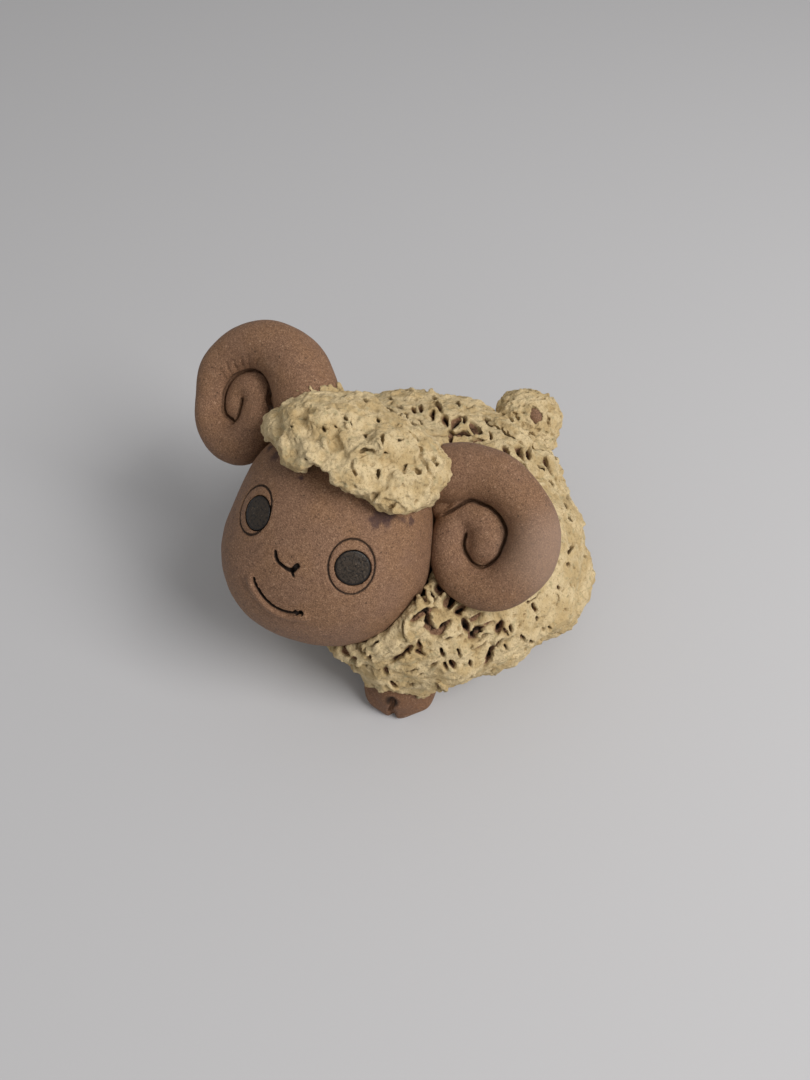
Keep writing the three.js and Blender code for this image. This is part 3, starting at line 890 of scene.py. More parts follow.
# The middle line of each roll from root to tip and the width across it, in pixels of the photograph
HORN_ROLLS = {
    "left": [
        (436, 474, 58), (454, 473, 61), (473, 472, 57), (501, 481, 53), (527, 510, 50), (534, 535, 53),
        (527, 563, 54), (503, 584, 51), (480, 586, 48), (458, 573, 44), (449, 552, 39), (451, 530, 36),
        (460, 518, 33), (471, 516, 34), (484, 524, 37), (488, 538, 39), (486, 547, 38),
    ],
    "right": [
        (309, 410, 70), (305, 389, 67), (296, 367, 63), (281.5, 353, 57), (263, 346.5, 52), (240, 352, 46),
        (220, 371, 40), (213, 395, 34), (213, 420, 35), (225, 438, 41), (242, 443, 45), (255, 430, 40),
        (258, 410, 31), (259, 396, 29), (252, 387, 29), (241, 391, 23), (236, 405, 19), (236, 416, 14),
    ],
}
HORN_SPACING = 0.4
HORN_BLUR = 0.6
# How far the horns are tinted a warmer, darker brown
HORN_TINT = 0.1

# Where the turns of each roll meet, and the wrinkles where the right one bends hardest
HORN_CREASES = {
    "left": [
        (446, 514), (456, 509), (464, 504), (473, 500), (482, 503), (492, 507), (500, 514), (505, 522),
        (508, 530), (507, 538), (504, 546), (500, 555), (493, 562), (484, 566), (475, 562), (470, 555),
        (467, 549), (466, 542), (468, 534),
    ],
    "right": [
        (273, 411), (271, 400), (272, 389), (269, 380), (265, 374), (257, 371), (247, 373), (239, 377),
        (233, 384), (229, 392), (227, 404), (228, 414), (235, 420), (238, 423), (241, 419), (244, 409),
        (246, 400),
    ],
}
HORN_WRINKLES = {
    "left": [],
    "right": [
        [(226, 380), (220, 370)], [(231, 375), (226, 363)], [(237, 371), (233, 360)],
        [(243, 368), (241, 358)], [(249, 367), (249, 358)], [(255, 366), (258, 359)],
    ],
}
WRINKLE_GROOVE = {"width": 0.6, "depth": 0.25}
CREASE_HALF = (0.5, 0.2, 1.4)
CREASE_BLEND = 0.3
CREASE_SPACING = 0.3
CREASE_AHEAD = 8
CREASE_ROUNDS = 12
CREASE_PACE = 0.8
# How dark the painted shade along the crease is, and how far it reaches
CREASE_SHADE = 0.95
CREASE_REACH = 0.6

# A painted highlight on the horns: its middle, how strong it is, and the radii between which it fades
HIGHLIGHT_MIDDLE = (548, 552)
HIGHLIGHT_MOST = 0.45
HIGHLIGHT_RADII = (13, 5)

# The middle of each coil in pixels, with the radius and half the thickness of the clay that closes it
HORN_WEBS = {"left": ((481, 536), 9.0, 2.4), "right": ((246, 398), 7.5, 1.8)}
HORN_ROOT_FILL = {"left": ((443, 508), 3.6), "right": ((284, 418), 3.0)}
HORN_FILL_SINK = 0.6
HORN_FILL_BLEND = 0.5


def make_horn(side):
    """A tapered roll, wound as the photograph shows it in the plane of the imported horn."""
    node = "horn_" + side
    clay = Clay(node_skin(node), HORN_STEP, empty=True)
    back = HEAD_AXES[:, 1]
    plane = node_middle(node), back
    line = []
    for x, y, width in HORN_ROLLS[side]:
        place = on_plane((x, y), *plane)
        _, span = on_photo(place[None])
        line.append((*place, width / 2 * span[0]))
    for *place, radius in spaced(line, HORN_SPACING):
        clay.stick(np.array(place), np.eye(3), (radius,) * 3, 0)
    middle, wide, thick = HORN_WEBS[side]
    clay.stick(on_plane(middle, *plane), HEAD_AXES.T, (wide, thick, wide), HORN_FILL_BLEND)
    pixel, wide = HORN_ROOT_FILL[side]
    fill = on_plane(pixel, *plane) + back * wide * HORN_FILL_SINK
    clay.stick(fill, np.eye(3), (wide,) * 3, HORN_FILL_BLEND)
    clay.blur(HORN_BLUR)
    corners = np.array([on_plane(pixel, *plane) for pixel in HORN_CREASES[side]])
    crease = spaced(corners - back * CREASE_AHEAD, CREASE_SPACING)
    for _ in range(CREASE_ROUNDS):
        crease = crease + back * np.clip(clay.sample(crease), 0, 1)[:, None] * CREASE_PACE
    axes = frames_along(crease, np.tile(-back, (len(crease), 1)))
    for place, axis in zip(crease, axes):
        clay.press(place, axis, CREASE_HALF, CREASE_BLEND)
    for wrinkle in HORN_WRINKLES[side]:
        groove(clay, clay.seen(wrinkle), **WRINKLE_GROOVE)
    cut_to_fit(clay, "head")
    # Where the painted highlight on the horn is brightest
    pale = on_plane(HIGHLIGHT_MIDDLE, *plane)
    # Painted shade lies along the crease
    make_piece(
        node, clay.skin(), "brown_stoneware", clay_grit, rust=even(HORN_TINT),
        soot=lambda points: CREASE_SHADE * near_to(crease, points, CREASE_REACH),
        bloom=lambda points: HIGHLIGHT_MOST * step_up(away_from(pale, points), *HIGHLIGHT_RADII),
    )


# Feet

FRONT_SPLAY = 29
REAR_SPLAY = 18

# The turn of each foot and the side it stands on
LEGS = {
    "front_left": (FRONT_SPLAY, 1),
    "front_right": (FRONT_SPLAY, -1),
    "rear_left": (REAR_SPLAY, 1),
    "rear_right": (REAR_SPLAY, -1),
}
LEG_NODES = ["leg_" + leg for leg in LEGS]
LEG_REGAIN = 0.1
HOOF_OUTLINE = [
    (364, 687), (367, 698), (372, 706), (381, 711), (394, 716), (403, 717), (417, 713), (430, 704),
    (436, 694),
]
HOOF_REACH = 2.5
# How much painted shade from the coat above darkens the feet, in a warm brown
HOOF_PAINTED_SHADE = 0.6

# Half the sizes of the inner and the outer toe, and where they sit
TOES = {-1: (4.2, 3.6, 3.8), 1: (4.5, 4.6, 4.2)}
TOE_APART = 3.9
TOE_FORWARD = 3.2
TOE_HEIGHT = 3.6
TOE_BLEND = 1.2

# The hole at the top of the cleft, the painted shade in it, and the cuts below it
HOOF_HOLE = (392, 702)
HOLE_HALF = (1.5, 1.0, 1.7)
HOLE_BLEND = 0.3
# How dark the painted shade in the hole is, and the radii between which it fades
HOLE_SHADE = 0.9
HOLE_RADII = (2.4, 1.0)
CLEFT_DROPS = (1.2, 2.4, 3.6, 4.8, 6.0)
CLEFT_HALF = (1.2, 0.45, 1.2)
CLEFT_LEAN = 0.25
CLEFT_BLEND = 0.4

# Where the photograph shows the hole of the cleft, in the frame of its foot: forward, outward and up
hoof = {}


def make_leg(name, splay, side):
    """A stump with two toes, the outer one bigger, and a cleft between them."""
    node = "leg_" + name
    clay = Clay(node_skin(node), SMALL_STEP)
    clay.blur(NODE_BLUR)
    clay.field -= LEG_REGAIN
    axes = turn(z=side * splay).T
    middle = node_middle(node)
    front, outward = -axes[1], axes[0] * side
    frame_axes = np.array((front, outward, (0, 0, 1.0)))
    for hand, half in TOES.items():
        toe = middle + front * TOE_FORWARD + outward * hand * TOE_APART
        toe[2] = TOE_HEIGHT
        clay.stick(toe, frame_axes, half, TOE_BLEND)
    if name == "front_left":
        skin = split_quads(clay.skin())
        clay = Clay(follow(skin, HOOF_OUTLINE, HOOF_REACH), SMALL_STEP)
        hoof["hole"] = frame_axes @ (clay.seen([HOOF_HOLE])[0] - middle)
    hole = middle + hoof["hole"] @ frame_axes
    hole = clay.settle(hole[None])[0]
    clay.press(hole, frame_axes, HOLE_HALF, HOLE_BLEND)
    for drop in CLEFT_DROPS:
        place = clay.settle((hole - (0, 0, drop) + front * drop * CLEFT_LEAN)[None])[0]
        clay.press(place, frame_axes, CLEFT_HALF, CLEFT_BLEND)
    floor = np.arange(clay.field.shape[2]) + clay.first[2]
    clay.field = np.maximum(clay.field, -(floor * clay.step)[None, None, :].astype(np.float32))
    # The whole foot is darkened with painted shade from the coat above it, and the hole with darker
    # painted shade
    make_piece(
        node, clay.skin(), "brown_stoneware", clay_grit, rust=even(HOOF_PAINTED_SHADE),
        soot=lambda points: HOLE_SHADE * step_up(away_from(hole, points), *HOLE_RADII),
    )


# Body and the core of the tail

def make_body():
    clay = Clay(node_skin("body_core"), BODY_STEP)
    clay.blur(NODE_BLUR)
    cut_to_fit(clay, "head", *LEG_NODES)
    make_piece("body_core", clay.skin(), "brown_stoneware", clay_grit)


# The patch of the tail's core that shows through the wool
TAIL_PATCH = (538, 416)
PATCH_FLOW = np.array((0, 0, 1.0))
PATCH_SINK = 1.7
PATCH_HALF = (2.5, 1.8, 1.7)
PATCH_BLEND = 1.0


def make_tail_stub():
    clay = Clay(node_skin("tail_stub"), SMALL_STEP)
    clay.blur(NODE_BLUR)
    tree = tree_of(hull_skin(node_skin("tail_wool")))
    for _, place, axes in landed(tree, [TAIL_PATCH], PATCH_FLOW):
        clay.stick(place - axes[2] * PATCH_SINK, axes, PATCH_HALF, PATCH_BLEND)
    make_piece("tail_stub", clay.skin(), "brown_stoneware", clay_grit)


# Wool

rng = np.random.default_rng(SEED)
MOST_PLACES = 16000
PIT_FLOW = np.array((0.3, 0.5, 0.8))

# Stabs wider than the least scoop have a scoop, and most have their torn edge uphill
STAB_BLEND = 0.08
SCOOP_LEAST = 0.85
UPHILL = np.array((0.3, 0.6, 0.7))
UPHILL_SHARE = 0.85


def above(height):
    return lambda points: points[:, 2] > height


def scatter(clay, spacing, keep):
    """Random places on the skin, a spacing apart, with the way out at each."""
    points, _ = clay.skin()
    points = points[rng.permutation(len(points))[:MOST_PLACES]]
    points = points[keep(points)]
    tree = points_tree(points)
    free = np.ones(len(points), bool)
    chosen = []
    for i, point in enumerate(points):
        if free[i]:
            chosen.append(point)
            free[[j for _, j, _ in tree.find_range(point, spacing)]] = False
    chosen = np.array(chosen)
    return chosen, clay.normals(chosen)


def tangent(normal, flow):
    """Axes along a flow, across it and out of the skin."""
    along = flow - normal * (flow @ normal)
    along /= np.linalg.norm(along) + TINY
    return np.array((along, np.cross(normal, along), normal))


def spun(axes, angle):
    c, s = math.cos(angle), math.sin(angle)
    return np.array((c * axes[0] + s * axes[1], c * axes[1] - s * axes[0], axes[2]))


def landed(tree, pixels, flow):
    """The places where the rays of pixels meet a skin, with axes along a flow, across it and out."""
    for pixel in pixels:
        place, normal, _, _ = tree.ray_cast(Vector(CAMERA_PLACE), Vector(ray_of(pixel)))
        if place is not None:
            yield pixel, np.array(place), tangent(np.array(normal), flow)


def strokes(clay, rows):
    """The lines of pixels that the camera sees on the clay, as points, each with its sizes."""
    for pixels, *sizes in rows:
        corners = clay.seen(pixels)
        if len(corners) > 1:
            yield corners, *sizes


def ridges(clay, keep, flow, spacing, half, turned=0.6):
    """Drawn-out crumbs of clay all over a skin, laid along a flow."""
    places, normals = scatter(clay, spacing, keep)
    for place, normal in zip(places, normals):
        axes = spun(tangent(normal, flow), rng.normal(0, turned))
        sizes = np.array(half) * rng.uniform(0.6, 1.4, 3)
        clay.stick(place - normal * half[2] * rng.uniform(0, 0.5), axes, tuple(sizes), 0.5)


def pits(clay, keep, spacing, radius):
    """Small torn holes."""
    places, normals = scatter(clay, spacing, keep)
    for place, normal in zip(places, normals):
        size = radius * rng.uniform(0.6, 1.4)
        axes = spun(tangent(normal, PIT_FLOW), rng.uniform(0, 3))
        clay.press(place, axes, (size * rng.uniform(1.2, 3), size * 0.7, size * 1.3), STAB_BLEND)


def gouge(clay, corners, width, depth, lip=0.3, lean=0.1):
    """A stab and drag of a pointed tool: a scoop, and a slot that runs in under its torn upper edge."""
    path = clay.settle(spaced(corners, width / 2.2))
    axes = frames_along(path, clay.normals(path))
    shares = np.sin(np.pi * np.linspace(0.1, 0.97, len(path)) ** 0.75)
    side = np.sign(axes[len(axes) // 2][1] @ UPHILL) * (1 if rng.random() < UPHILL_SHARE else -1)
    scooped = width > SCOOP_LEAST
    for place, axis, share in zip(path, axes, shares):
        crest = place + axis[1] * side * (width * 0.5 + 0.3) + axis[2] * 0.05
        clay.stick(crest, axis, (width * 0.8, 0.5, lip * share * rng.uniform(0.5, 1.3) + 0.1), 0.3)
    for place, (along, across, out), share in zip(path, axes, shares):
        wide = width / 2 * (0.55 + 0.45 * share) * rng.uniform(0.85, 1.15)
        if scooped:
            half = (width * 0.8, wide * 1.2, 0.6 + 0.45 * width * share)
            clay.press(place + out * 0.2, (along, across, out), half, STAB_BLEND)
        inward = out * math.cos(lean) - across * side * math.sin(lean)
        axis = np.array((along, np.cross(inward, along), inward))
        shift = across * side * wide * 0.6 if scooped else 0
        half = (width * 0.7, wide * (0.55 if scooped else 1), depth * share + 0.2)
        clay.press(place + shift, axis, half, STAB_BLEND)


LEAST_GOUGE = 0.3
GOUGE_ROOM = 4


def random_gouges(clay, keep, flow, spacing, scale, taken=()):
    """Gouges all over a skin, kept away from those already made."""
    places, normals = scatter(clay, spacing, keep)
    for place, normal in zip(places, normals):
        size = scale(place) * rng.uniform(0.55, 1.3)
        if size < LEAST_GOUGE or any(np.linalg.norm(place - other) < GOUGE_ROOM for other in taken):
            continue
        axes = spun(tangent(normal, flow), rng.normal(0, 0.9))
        length = size * rng.uniform(1.8, 4.2)
        bow = rng.uniform(-0.3, 0.3) * length
        corners = [place - axes[0] * length / 2, place + axes[1] * bow, place + axes[0] * length / 2]
        gouge(clay, corners, size * rng.uniform(0.7, 1.25), size * rng.uniform(0.9, 1.8))


def valley(clay, corners, width, depth):
    """A soft fold pressed between two lumps."""
    path = clay.settle(spaced(corners, width / 2))
    axes = frames_along(path, clay.normals(path))
    shares = np.sin(np.pi * np.linspace(0.1, 0.9, len(path)))
    for place, axis, share in zip(path, axes, shares):
        clay.press(place, axis, (width * 0.8, width / 2, depth * share + 0.1), min(0.8, width / 2))


# The way that the wool was combed
COMBED = np.array((0.15, -1.0, -0.35))
COMB_STRETCH = 0.6


def combed(points):
    """Points squeezed along the combing, so that noise is drawn out along it."""
    flow = COMBED / np.linalg.norm(COMBED)
    return points - COMB_STRETCH * (points @ flow)[:, None] * flow


def wool_grit(points):
    """Torn, crumbly fine relief."""
    crags = 1 - 2 * np.abs(noise(combed(points), 1.5, 11))
    flakes = 0.5 * (crumbs(points, 1.9) - 0.5) + 0.3 * (crumbs(points, 1.05) - 0.5)
    return 0.12 * crags + flakes + 0.12 * rough(points, 0.8, 2, 21)


# How strong the shade of hollows is, and the depths below the old surface between which it sets in
WOOL_HOLLOWS = (1, 0.05, 0.5)


def make_wool(node, clay, surface, bare, soot, keep=None):
    """A piece of wool that is darker with painted shade, bare, and black with painted shadow in the marks
    below its old surface.
    """

    def below(most, low, high):
        return lambda points: most * step_up(-clay.sample(points, surface), low, high)

    make_piece(
        node, without_scraps(clay.skin(), keep), "cream_wool", wool_grit,
        hollow=below(*WOOL_HOLLOWS), bare=below(*bare), soot=below(*soot),
    )


# Coat

# Stabs of the tool in the wool, as pixels along each one and its width in millimetres
CHEST_GOUGES = [
    ([(424, 588), (423, 597), (431, 606)], 1.0), ([(438, 588), (435, 597), (434, 608)], 1.2),
    ([(451, 598), (447, 605)], 1.7), ([(463, 606), (457, 611), (461, 617)], 1.0),
    ([(414, 620), (419, 616), (428, 612), (437, 611)], 1.2), ([(428, 618), (429, 627), (436, 636)], 1.3),
    ([(437, 635), (442, 628), (451, 622)], 1.1), ([(469, 622), (475, 618), (482, 614)], 1.1),
    ([(465, 623), (467, 631)], 1.3), ([(482, 628), (474, 631), (472, 637), (477, 640)], 1.3),
    ([(479, 637), (488, 635)], 0.8), ([(500, 625), (497, 631)], 1.2), ([(486, 624), (492, 622)], 0.8),
    ([(484, 644), (479, 648), (474, 650)], 1.0), ([(500, 641), (496, 647), (495, 652)], 0.9),
    ([(399, 646), (391, 651), (382, 657)], 0.7), ([(411, 647), (401, 655), (389, 663)], 0.7),
    ([(403, 621), (403, 631), (407, 642)], 0.4), ([(377, 642), (372, 646)], 0.6),
    ([(342, 649), (348, 655)], 1.4), ([(359, 646), (362, 653)], 0.9), ([(365, 650), (366, 655)], 0.7),
    ([(353, 659), (356, 667)], 1.2), ([(367, 655), (370, 662)], 0.8), ([(363, 665), (366, 665)], 0.7),
    ([(418, 651), (425, 655)], 0.8), ([(418, 644), (420, 649)], 0.8), ([(452, 663), (455, 668)], 1.0),
    ([(445, 664), (447, 670)], 0.7), ([(431, 666), (436, 663)], 0.7), ([(407, 672), (417, 669)], 0.6),
    ([(414, 676), (422, 674)], 0.6), ([(391, 682), (398, 688)], 0.6), ([(372, 671), (377, 678)], 0.8),
    ([(385, 669), (386, 675)], 0.7), ([(441, 650), (444, 657)], 0.6), ([(444, 640), (451, 638)], 0.6),
    ([(458, 651), (460, 657)], 0.5), ([(510, 628), (509, 635)], 0.7), ([(505, 646), (507, 650)], 0.6),
    ([(470, 662), (472, 668)], 0.5), ([(401, 662), (413, 660)], 0.5),
]
BACK_GOUGES = [
    ([(436, 403), (440, 409)], 1.1), ([(432, 412), (433, 419)], 0.8), ([(443, 417), (446, 425)], 1.3),
    ([(457, 419), (452, 428)], 1.5), ([(451, 433), (450, 440)], 1.0), ([(472, 423), (476, 432)], 1.6),
    ([(487, 412), (496, 415), (503, 417)], 1.3), ([(485, 419), (491, 426)], 1.0),
    ([(489, 431), (491, 439)], 0.6), ([(478, 430), (482, 439)], 0.8), ([(434, 436), (444, 436)], 1.0),
    ([(457, 435), (464, 433), (472, 438)], 1.0), ([(466, 409), (473, 406)], 0.6),
    ([(457, 402), (459, 406)], 0.6), ([(527, 445), (528, 460)], 1.0), ([(539, 466), (544, 469)], 0.8),
    ([(387, 410), (393, 414)], 0.9), ([(396, 406), (402, 408)], 0.6), ([(412, 408), (415, 412)], 0.7),
    ([(411, 423), (417, 425)], 0.6), ([(405, 413), (407, 418)], 0.6), ([(420, 406), (421, 412)], 0.7),
    ([(502, 428), (506, 434)], 0.6), ([(388, 398), (392, 400)], 0.7), ([(418, 419), (421, 423)], 0.6),
    ([(464, 417), (465, 423)], 0.6), ([(511, 424), (514, 431)], 0.6), ([(539, 449), (545, 450)], 0.6),
    ([(521, 433), (524, 439)], 0.6),
]
FLANK_GOUGES = [
    ([(573, 545), (568, 553)], 0.5), ([(551, 482), (552, 484)], 0.7), ([(556, 486), (557, 489)], 0.6),
    ([(565, 504), (567, 508)], 0.5), ([(569, 517), (572, 521)], 0.5), ([(573, 535), (574, 537)], 0.5),
    ([(568, 564), (569, 566)], 0.4), ([(558, 587), (560, 590)], 0.5), ([(558, 596), (556, 607)], 0.4),
    ([(533, 605), (537, 612)], 0.7), ([(529, 602), (539, 594)], 0.6), ([(536, 618), (538, 620)], 0.6),
    ([(521, 636), (524, 641)], 0.8), ([(530, 642), (533, 643)], 0.7), ([(507, 641), (511, 638)], 0.7),
    ([(549, 627), (551, 629)], 0.4), ([(584, 556), (587, 557)], 0.4), ([(503, 630), (506, 634)], 0.7),
]
COAT_OUTLINE = [
    (386, 393), (412, 389), (443, 396), (472, 399), (552, 453), (562, 477), (568, 495), (577, 509),
    (582, 530), (588, 551), (593, 568), (590, 588), (583, 608), (575, 622), (566, 635), (551, 637),
    (538, 642), (525, 656), (509, 668), (496, 672), (477, 676), (463, 679), (452, 690), (412, 692),
    (394, 693), (381, 688), (364, 682), (356, 671), (344, 661), (335, 654), (326, 645), (316, 636),
    (306, 630),
]
GOUGE_WIDEN = 1.35
GOUGE_DEEPEN = 1.7
COAT_REACH = 4.5
COAT_BASE_STEP = 0.6
COAT_JOIN = 1.0
COAT_BLUR = 1.4
COAT_LUMPS = [(0.25, 6.5, 31), (0.3, 2.8, 32)]
COAT_RIDGES = {"spacing": 2.5, "half": (1.5, 0.6, 0.4)}
COAT_PITS = {"spacing": 1.9, "radius": 0.36}
COAT_SPACING = 4.5
COAT_BARE = (1, 0.4, 0.9)
# How black the painted shadow in the gouges is, and the depths below the old surface between which it sets
# in
COAT_SHADE = (0.95, 1.1, 1.6)
COAT_LOWEST = 4.5

# Pellets of wool that close the coat up to the jaw
COAT_PELLETS = {
    (340, 650): 2.2, (348, 653): 2.6, (358, 652): 3.0, (370, 650): 3.0, (383, 645): 3.0, (394, 638): 3.0,
    (404, 630): 3.0, (413, 621): 3.0, (421, 611): 3.0, (427, 601): 1.8,
}
PELLET_BLEND = 2.0

# How wide the random gouges are, and where they get finer: on the left flank and at the hem
GOUGE_WIDTH = 1.2
FLANK_X = (24, 38)
FLANK_Y = (-24, -4)
FLANK_FINER = 0.85
HEM_Z = (19, 11)
HEM_FINER = 0.6


def coat_scale(place):
    x, y, z = place
    flank = step_up(x, *FLANK_X) * step_up(y, *FLANK_Y)
    low = step_up(z, *HEM_Z)
    return GOUGE_WIDTH * (1 - FLANK_FINER * flank) * (1 - HEM_FINER * low)


def make_coat():
    base = Clay(node_skin("wool_coat"), COAT_BASE_STEP)
    base.add(node_skin("body_core"), COAT_JOIN)
    for pixel, size in COAT_PELLETS.items():
        for place in base.seen([pixel]):
            base.stick(place, np.eye(3), (size,) * 3, PELLET_BLEND)
    base.blur(COAT_BLUR)
    clay = Clay(follow(split_quads(base.skin()), COAT_OUTLINE, COAT_REACH), COAT_STEP)
    clay.swell(lumps(COAT_LUMPS))
    keep = above(COAT_LOWEST)
    ridges(clay, keep, COMBED, **COAT_RIDGES)
    surface = clay.field.copy()
    stabs = list(strokes(clay, CHEST_GOUGES + BACK_GOUGES + FLANK_GOUGES))
    for corners, width in stabs:
        gouge(clay, corners, GOUGE_WIDEN * width, GOUGE_DEEPEN + width)
    taken = [corners[0] for corners, _ in stabs]
    random_gouges(clay, keep, COMBED, COAT_SPACING, coat_scale, taken)
    pits(clay, keep, **COAT_PITS)
    cut_to_fit(clay, "head", "body_core", "tail_wool", "horn_left", "horn_right", *LEG_NODES)
    make_wool("wool_coat", clay, surface, COAT_BARE, COAT_SHADE)


# Cap

CAP_OUTLINE = [
    (263, 424), (265, 415), (275, 409.5), (286, 403), (299, 397.5), (311, 395), (326, 394), (341, 394.5),
    (357, 394.5), (370, 394.5), (378, 403), (384, 410), (392, 416), (408, 425.5), (421, 433.5),
    (430, 440), (448, 443.5), (452, 455), (448, 467), (447, 484.5), (438.5, 498), (426, 508.5),
    (406, 514.5), (394, 512), (383.5, 506), (367.5, 501), (362, 496.5), (343.5, 490), (333, 479),
    (326, 468.5), (314, 462), (308.5, 469), (299, 469), (286, 463), (283, 452), (272.5, 443),
    (263, 437.5),
]
CAP_HOLE_SHARE = 0.75
CAP_SWELL = 2.0
CAP_SPREAD = 1.5
CAP_JOIN = 0.5
CAP_BLUR = 1.0
CAP_LUMPS = [(0.75, 5.5, 41), (0.4, 2.6, 42)]
CAP_RIDGES = {"spacing": 2.8, "half": (1.4, 0.8, 0.5), "turned": 1.5}
CAP_PITS = {"spacing": 1.8, "radius": 0.28}
CAP_BARE = (0.4, 0.7, 1.6)
# How black the painted shadow in the holes is, and the depths between which it sets in
CAP_SHADE = (0.85, 0.8, 1.5)
CAP_HOLE_DEPTH = 1.6
CAP_HOLE_LIP = 0.15
CAP_PELLET_RISE = 0.3
CAP_PELLET_BLEND = 0.8
PELLET_FLATNESS = 0.8
CRUMB_BLEND = 0.3
CRUMB_REACH = 0.6

# Pellets that carry the cap on over the head, and crumbs on the root of the right horn
CAP_PELLETS = {
    (270, 430): 3.3, (273, 420): 3.3, (280, 436): 3.0, (287, 446): 2.2, (291, 456): 1.4, (296, 462): 1.4,
    (303, 463): 1.4, (307, 461): 1.3, (318, 460): 2.2, (332, 472): 2.2,
}
CAP_CRUMBS = {
    (322, 389): 0.8, (330, 388): 0.9, (338, 387): 1.1, (340, 391): 1.2, (334, 393): 1.3, (325, 393): 1.2,
    (314, 393): 0.9, (306, 395): 0.9, (342, 386): 0.8, (298, 391): 0.5, (310, 388): 0.5,
}

# Folds between the lumps of the cap, as pixels along each one, its width and its depth
CAP_VALLEYS = [
    ([(277, 413), (278, 424), (278, 435)], 1.8, 0.9),
    ([(300, 408), (301, 420), (306, 430), (315, 434)], 2.4, 1.2),
    ([(334, 423), (333, 438), (338, 450), (341, 460)], 2.2, 1.2), ([(288, 439), (294, 455)], 2.0, 0.9),
    ([(319, 452), (330, 466)], 2.0, 0.8),
    ([(409, 430), (420, 444), (422, 460), (429, 472), (437, 482)], 0.9, 0.9),
    ([(351, 460), (349, 471)], 0.6, 0.7), ([(351, 459), (360, 455), (369, 453)], 0.5, 0.7),
    ([(404, 466), (401, 487)], 0.45, 0.6), ([(377, 476), (376, 488)], 0.45, 0.6),
    ([(414, 467), (414, 487)], 0.45, 0.6), ([(314, 410), (330, 410)], 0.5, 0.6),
    ([(394, 424), (408, 427)], 0.45, 0.6), ([(385, 500), (396, 505), (402, 512)], 0.9, 0.8),
    ([(365, 437), (372, 425)], 1.6, 0.6), ([(390, 445), (384, 470)], 1.6, 0.6),
    ([(430, 455), (436, 464)], 0.7, 0.6),
]

# Torn holes in the cap, as pixels along each one and its width
CAP_HOLES = [
    ([(349, 421), (351, 425)], 0.9), ([(344, 417), (347, 420)], 0.6), ([(377, 419), (379, 421)], 0.7),
    ([(382, 434), (383, 446)], 1.0), ([(362, 452), (366, 450), (373, 452)], 1.1),
    ([(353, 471), (355, 474)], 1.0), ([(379, 471), (378, 478)], 0.8), ([(406, 465), (404, 471)], 0.7),
    ([(415, 470), (418, 473), (421, 468)], 0.9), ([(373, 497), (377, 493)], 1.6),
    ([(290, 426), (293, 427)], 0.6), ([(363, 399), (366, 402)], 0.8),
    ([(436, 464), (439, 463)], 0.7), ([(391, 507), (396, 503)], 1.0), ([(305, 459), (308, 459)], 0.7),
    ([(365, 434), (366, 437)], 0.6), ([(385, 452), (387, 453)], 0.7), ([(323, 428), (325, 432)], 0.7),
    ([(335, 426), (337, 428)], 0.6), ([(318, 409), (324, 410)], 0.8), ([(398, 440), (404, 439)], 0.7),
]


def make_cap():
    points, faces = node_skin("wool_cap")
    clay = Clay((points, faces), CAP_STEP)
    clay.add((points - HEAD_AXES[:, 0].astype(np.float32) * CAP_SPREAD, faces), CAP_JOIN)
    clay.blur(NODE_BLUR)
    clay.field -= CAP_SWELL
    for pixel, place, axes in landed(tree_of(made["head"]), CAP_PELLETS, COMBED):
        size = CAP_PELLETS[pixel]
        half = (size, size, size * PELLET_FLATNESS)
        clay.stick(place + axes[2] * CAP_PELLET_RISE, axes, half, CAP_PELLET_BLEND)
    clay.within(CAP_OUTLINE)
    clay.blur(CAP_BLUR)
    clay.swell(lumps(CAP_LUMPS))
    for corners, width, depth in strokes(clay, CAP_VALLEYS):
        valley(clay, corners, width, depth)
    keep = above(0)
    ridges(clay, keep, COMBED, **CAP_RIDGES)
    surface = clay.field.copy()
    for corners, width in strokes(clay, CAP_HOLES):
        gouge(clay, corners, CAP_HOLE_SHARE * width, CAP_HOLE_DEPTH, CAP_HOLE_LIP)
    pits(clay, keep, **CAP_PITS)
    horn_tree = tree_of(made["horn_right"])
    for pixel, place, axes in landed(horn_tree, CAP_CRUMBS, COMBED):
        size = CAP_CRUMBS[pixel]
        half = (size * rng.uniform(0.8, 1.3), size, size * PELLET_FLATNESS)
        clay.stick(place, axes, half, CRUMB_BLEND)
    cut_to_fit(clay, "head", "horn_left", "horn_right", "wool_coat")

    def on_horn(middle):
        return horn_tree.find_nearest(Vector(middle))[3] < CRUMB_REACH

    make_wool("wool_cap", clay, surface, CAP_BARE, CAP_SHADE, on_horn)


# Wool of the tail

TAIL_OUTLINE = [(517, 387), (528, 387), (543, 393), (555, 402), (564, 416), (560, 428), (559, 438)]

# Pellets that spread the root of the tail over the rump
TAIL_PELLETS = {(490, 404): 5.0, (498, 414): 5.0, (508, 426): 5.0, (520, 436): 5.0, (534, 444): 4.5}
TAIL_PELLET_SINK = 0.35
TAIL_PELLET_FLATNESS = 0.6
TAIL_SHRINK = 0.3
TAIL_LUMPS = [(0.5, 5, 51), (0.35, 2.8, 52)]
TAIL_FLOW = np.array((0.0, 1.0, 0.0))
TAIL_RIDGES = {"spacing": 3.0, "half": (1.6, 0.8, 0.5)}
TAIL_PITS = {"spacing": 2.0, "radius": 0.36}
TAIL_SPACING = 5.0
TAIL_GOUGE_WIDTH = 0.7
TAIL_BARE = (0.8, 0.6, 1.6)
# How black the painted shadow in the gouges is, and the depths between which it sets in
TAIL_SHADE = (0.4, 1.4, 2.4)


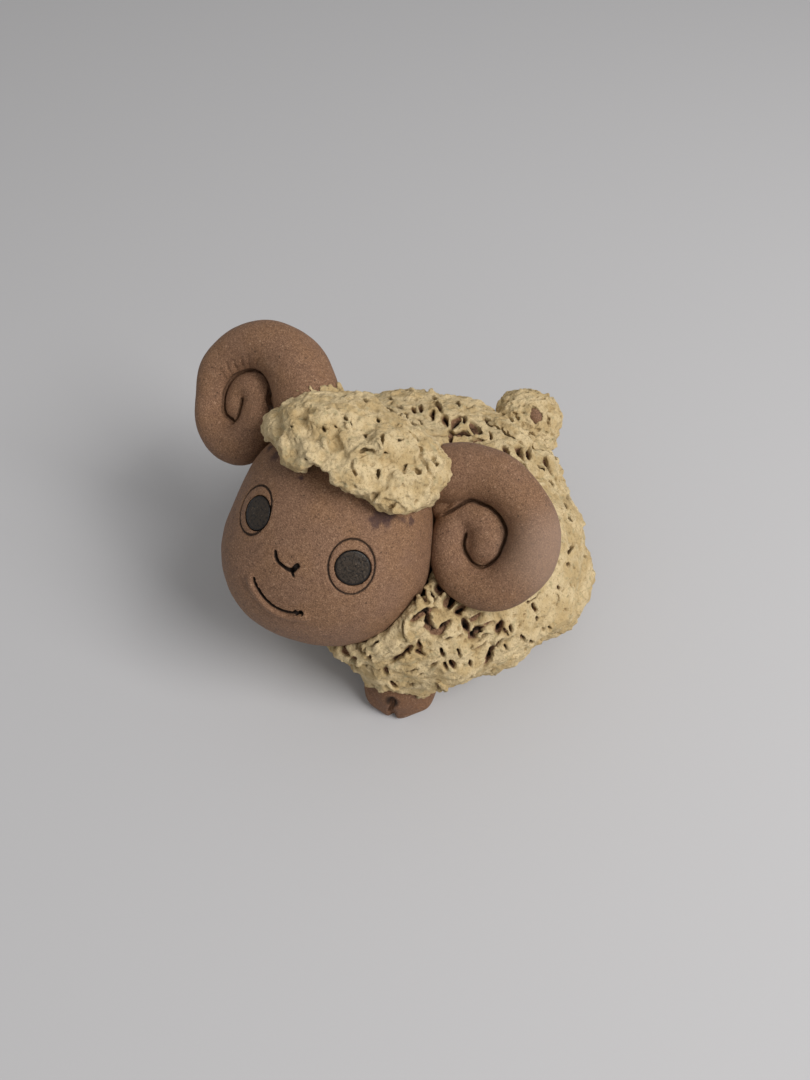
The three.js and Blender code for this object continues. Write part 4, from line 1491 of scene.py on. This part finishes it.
def make_tail_wool():
    clay = Clay(follow(hull_skin(node_skin("tail_wool")), TAIL_OUTLINE, COAT_REACH), CAP_STEP)
    clay.blur(COAT_BLUR)
    for pixel, place, axes in landed(tree_of(node_skin("wool_coat")), TAIL_PELLETS, COMBED):
        size = TAIL_PELLETS[pixel]
        half = (size, size, size * TAIL_PELLET_FLATNESS)
        clay.stick(place - axes[2] * size * TAIL_PELLET_SINK, axes, half, PELLET_BLEND)
    clay.swell(lumps(TAIL_LUMPS, -TAIL_SHRINK))
    keep = above(0)
    ridges(clay, keep, TAIL_FLOW, **TAIL_RIDGES)
    surface = clay.field.copy()
    random_gouges(clay, keep, TAIL_FLOW, TAIL_SPACING, lambda place: TAIL_GOUGE_WIDTH)
    pits(clay, keep, **TAIL_PITS)
    cut_to_fit(clay, "body_core", "tail_stub")
    make_wool("tail_wool", clay, surface, TAIL_BARE, TAIL_SHADE)


make_head()
for eye in PUPILS:
    make_pupil(eye)
for horn in HORN_ROLLS:
    make_horn(horn)
for leg, (splay, leg_side) in LEGS.items():
    make_leg(leg, splay, leg_side)
make_body()
make_tail_stub()
make_tail_wool()
make_coat()
make_cap()


# Floor and light, in metres and watts

FLOOR_REACH = 3.0
FLOOR_TONE = tone(185, 185, 187)
SKY_TONE = (1.0, 0.99, 0.98, 1)
SKY_STRENGTH = 0.42
LAMPS = {
    "key": {"place": (0.6, 0.12, 0.7), "size": 0.45, "power": 7.4, "colour": (1.0, 0.98, 0.96)},
    "fill": {"place": (0.3, -0.9, 0.6), "size": 0.9, "power": 0.5, "colour": (1, 1, 1)},
}


def make_floor():
    mesh = bpy.data.meshes.new("floor")
    corners = [(x * FLOOR_REACH, y * FLOOR_REACH, 0) for x, y in ((-1, -1), (1, -1), (1, 1), (-1, 1))]
    mesh.from_pydata(corners, [], [(0, 1, 2, 3)])
    shade = Shade("pale_floor")
    shade.finish(FLOOR_TONE, 0.9, shade.bump(shade.noise(1.5), 0.02, 0.2), 0.1)
    mesh.materials.append(shade.material)
    floor = bpy.data.objects.new("floor", mesh)
    bpy.context.scene.collection.objects.link(floor)


def make_lamp(name, place, size, power, colour):
    data = bpy.data.lights.new(name, "AREA")
    data.size = size
    data.energy = power
    data.color = colour
    lamp = bpy.data.objects.new(name, data)
    lamp.location = place
    lamp.rotation_euler = (-Vector(place)).to_track_quat("-Z", "Y").to_euler()
    bpy.context.scene.collection.objects.link(lamp)


def make_light():
    world = bpy.data.worlds.new("world")
    bpy.context.scene.world = world
    world.use_nodes = True
    background = world.node_tree.nodes["Background"]
    background.inputs["Color"].default_value = SKY_TONE
    background.inputs["Strength"].default_value = SKY_STRENGTH
    for name, settings in LAMPS.items():
        make_lamp(name, **settings)


make_floor()
make_light()
bpy.context.scene.view_settings.view_transform = "Standard"
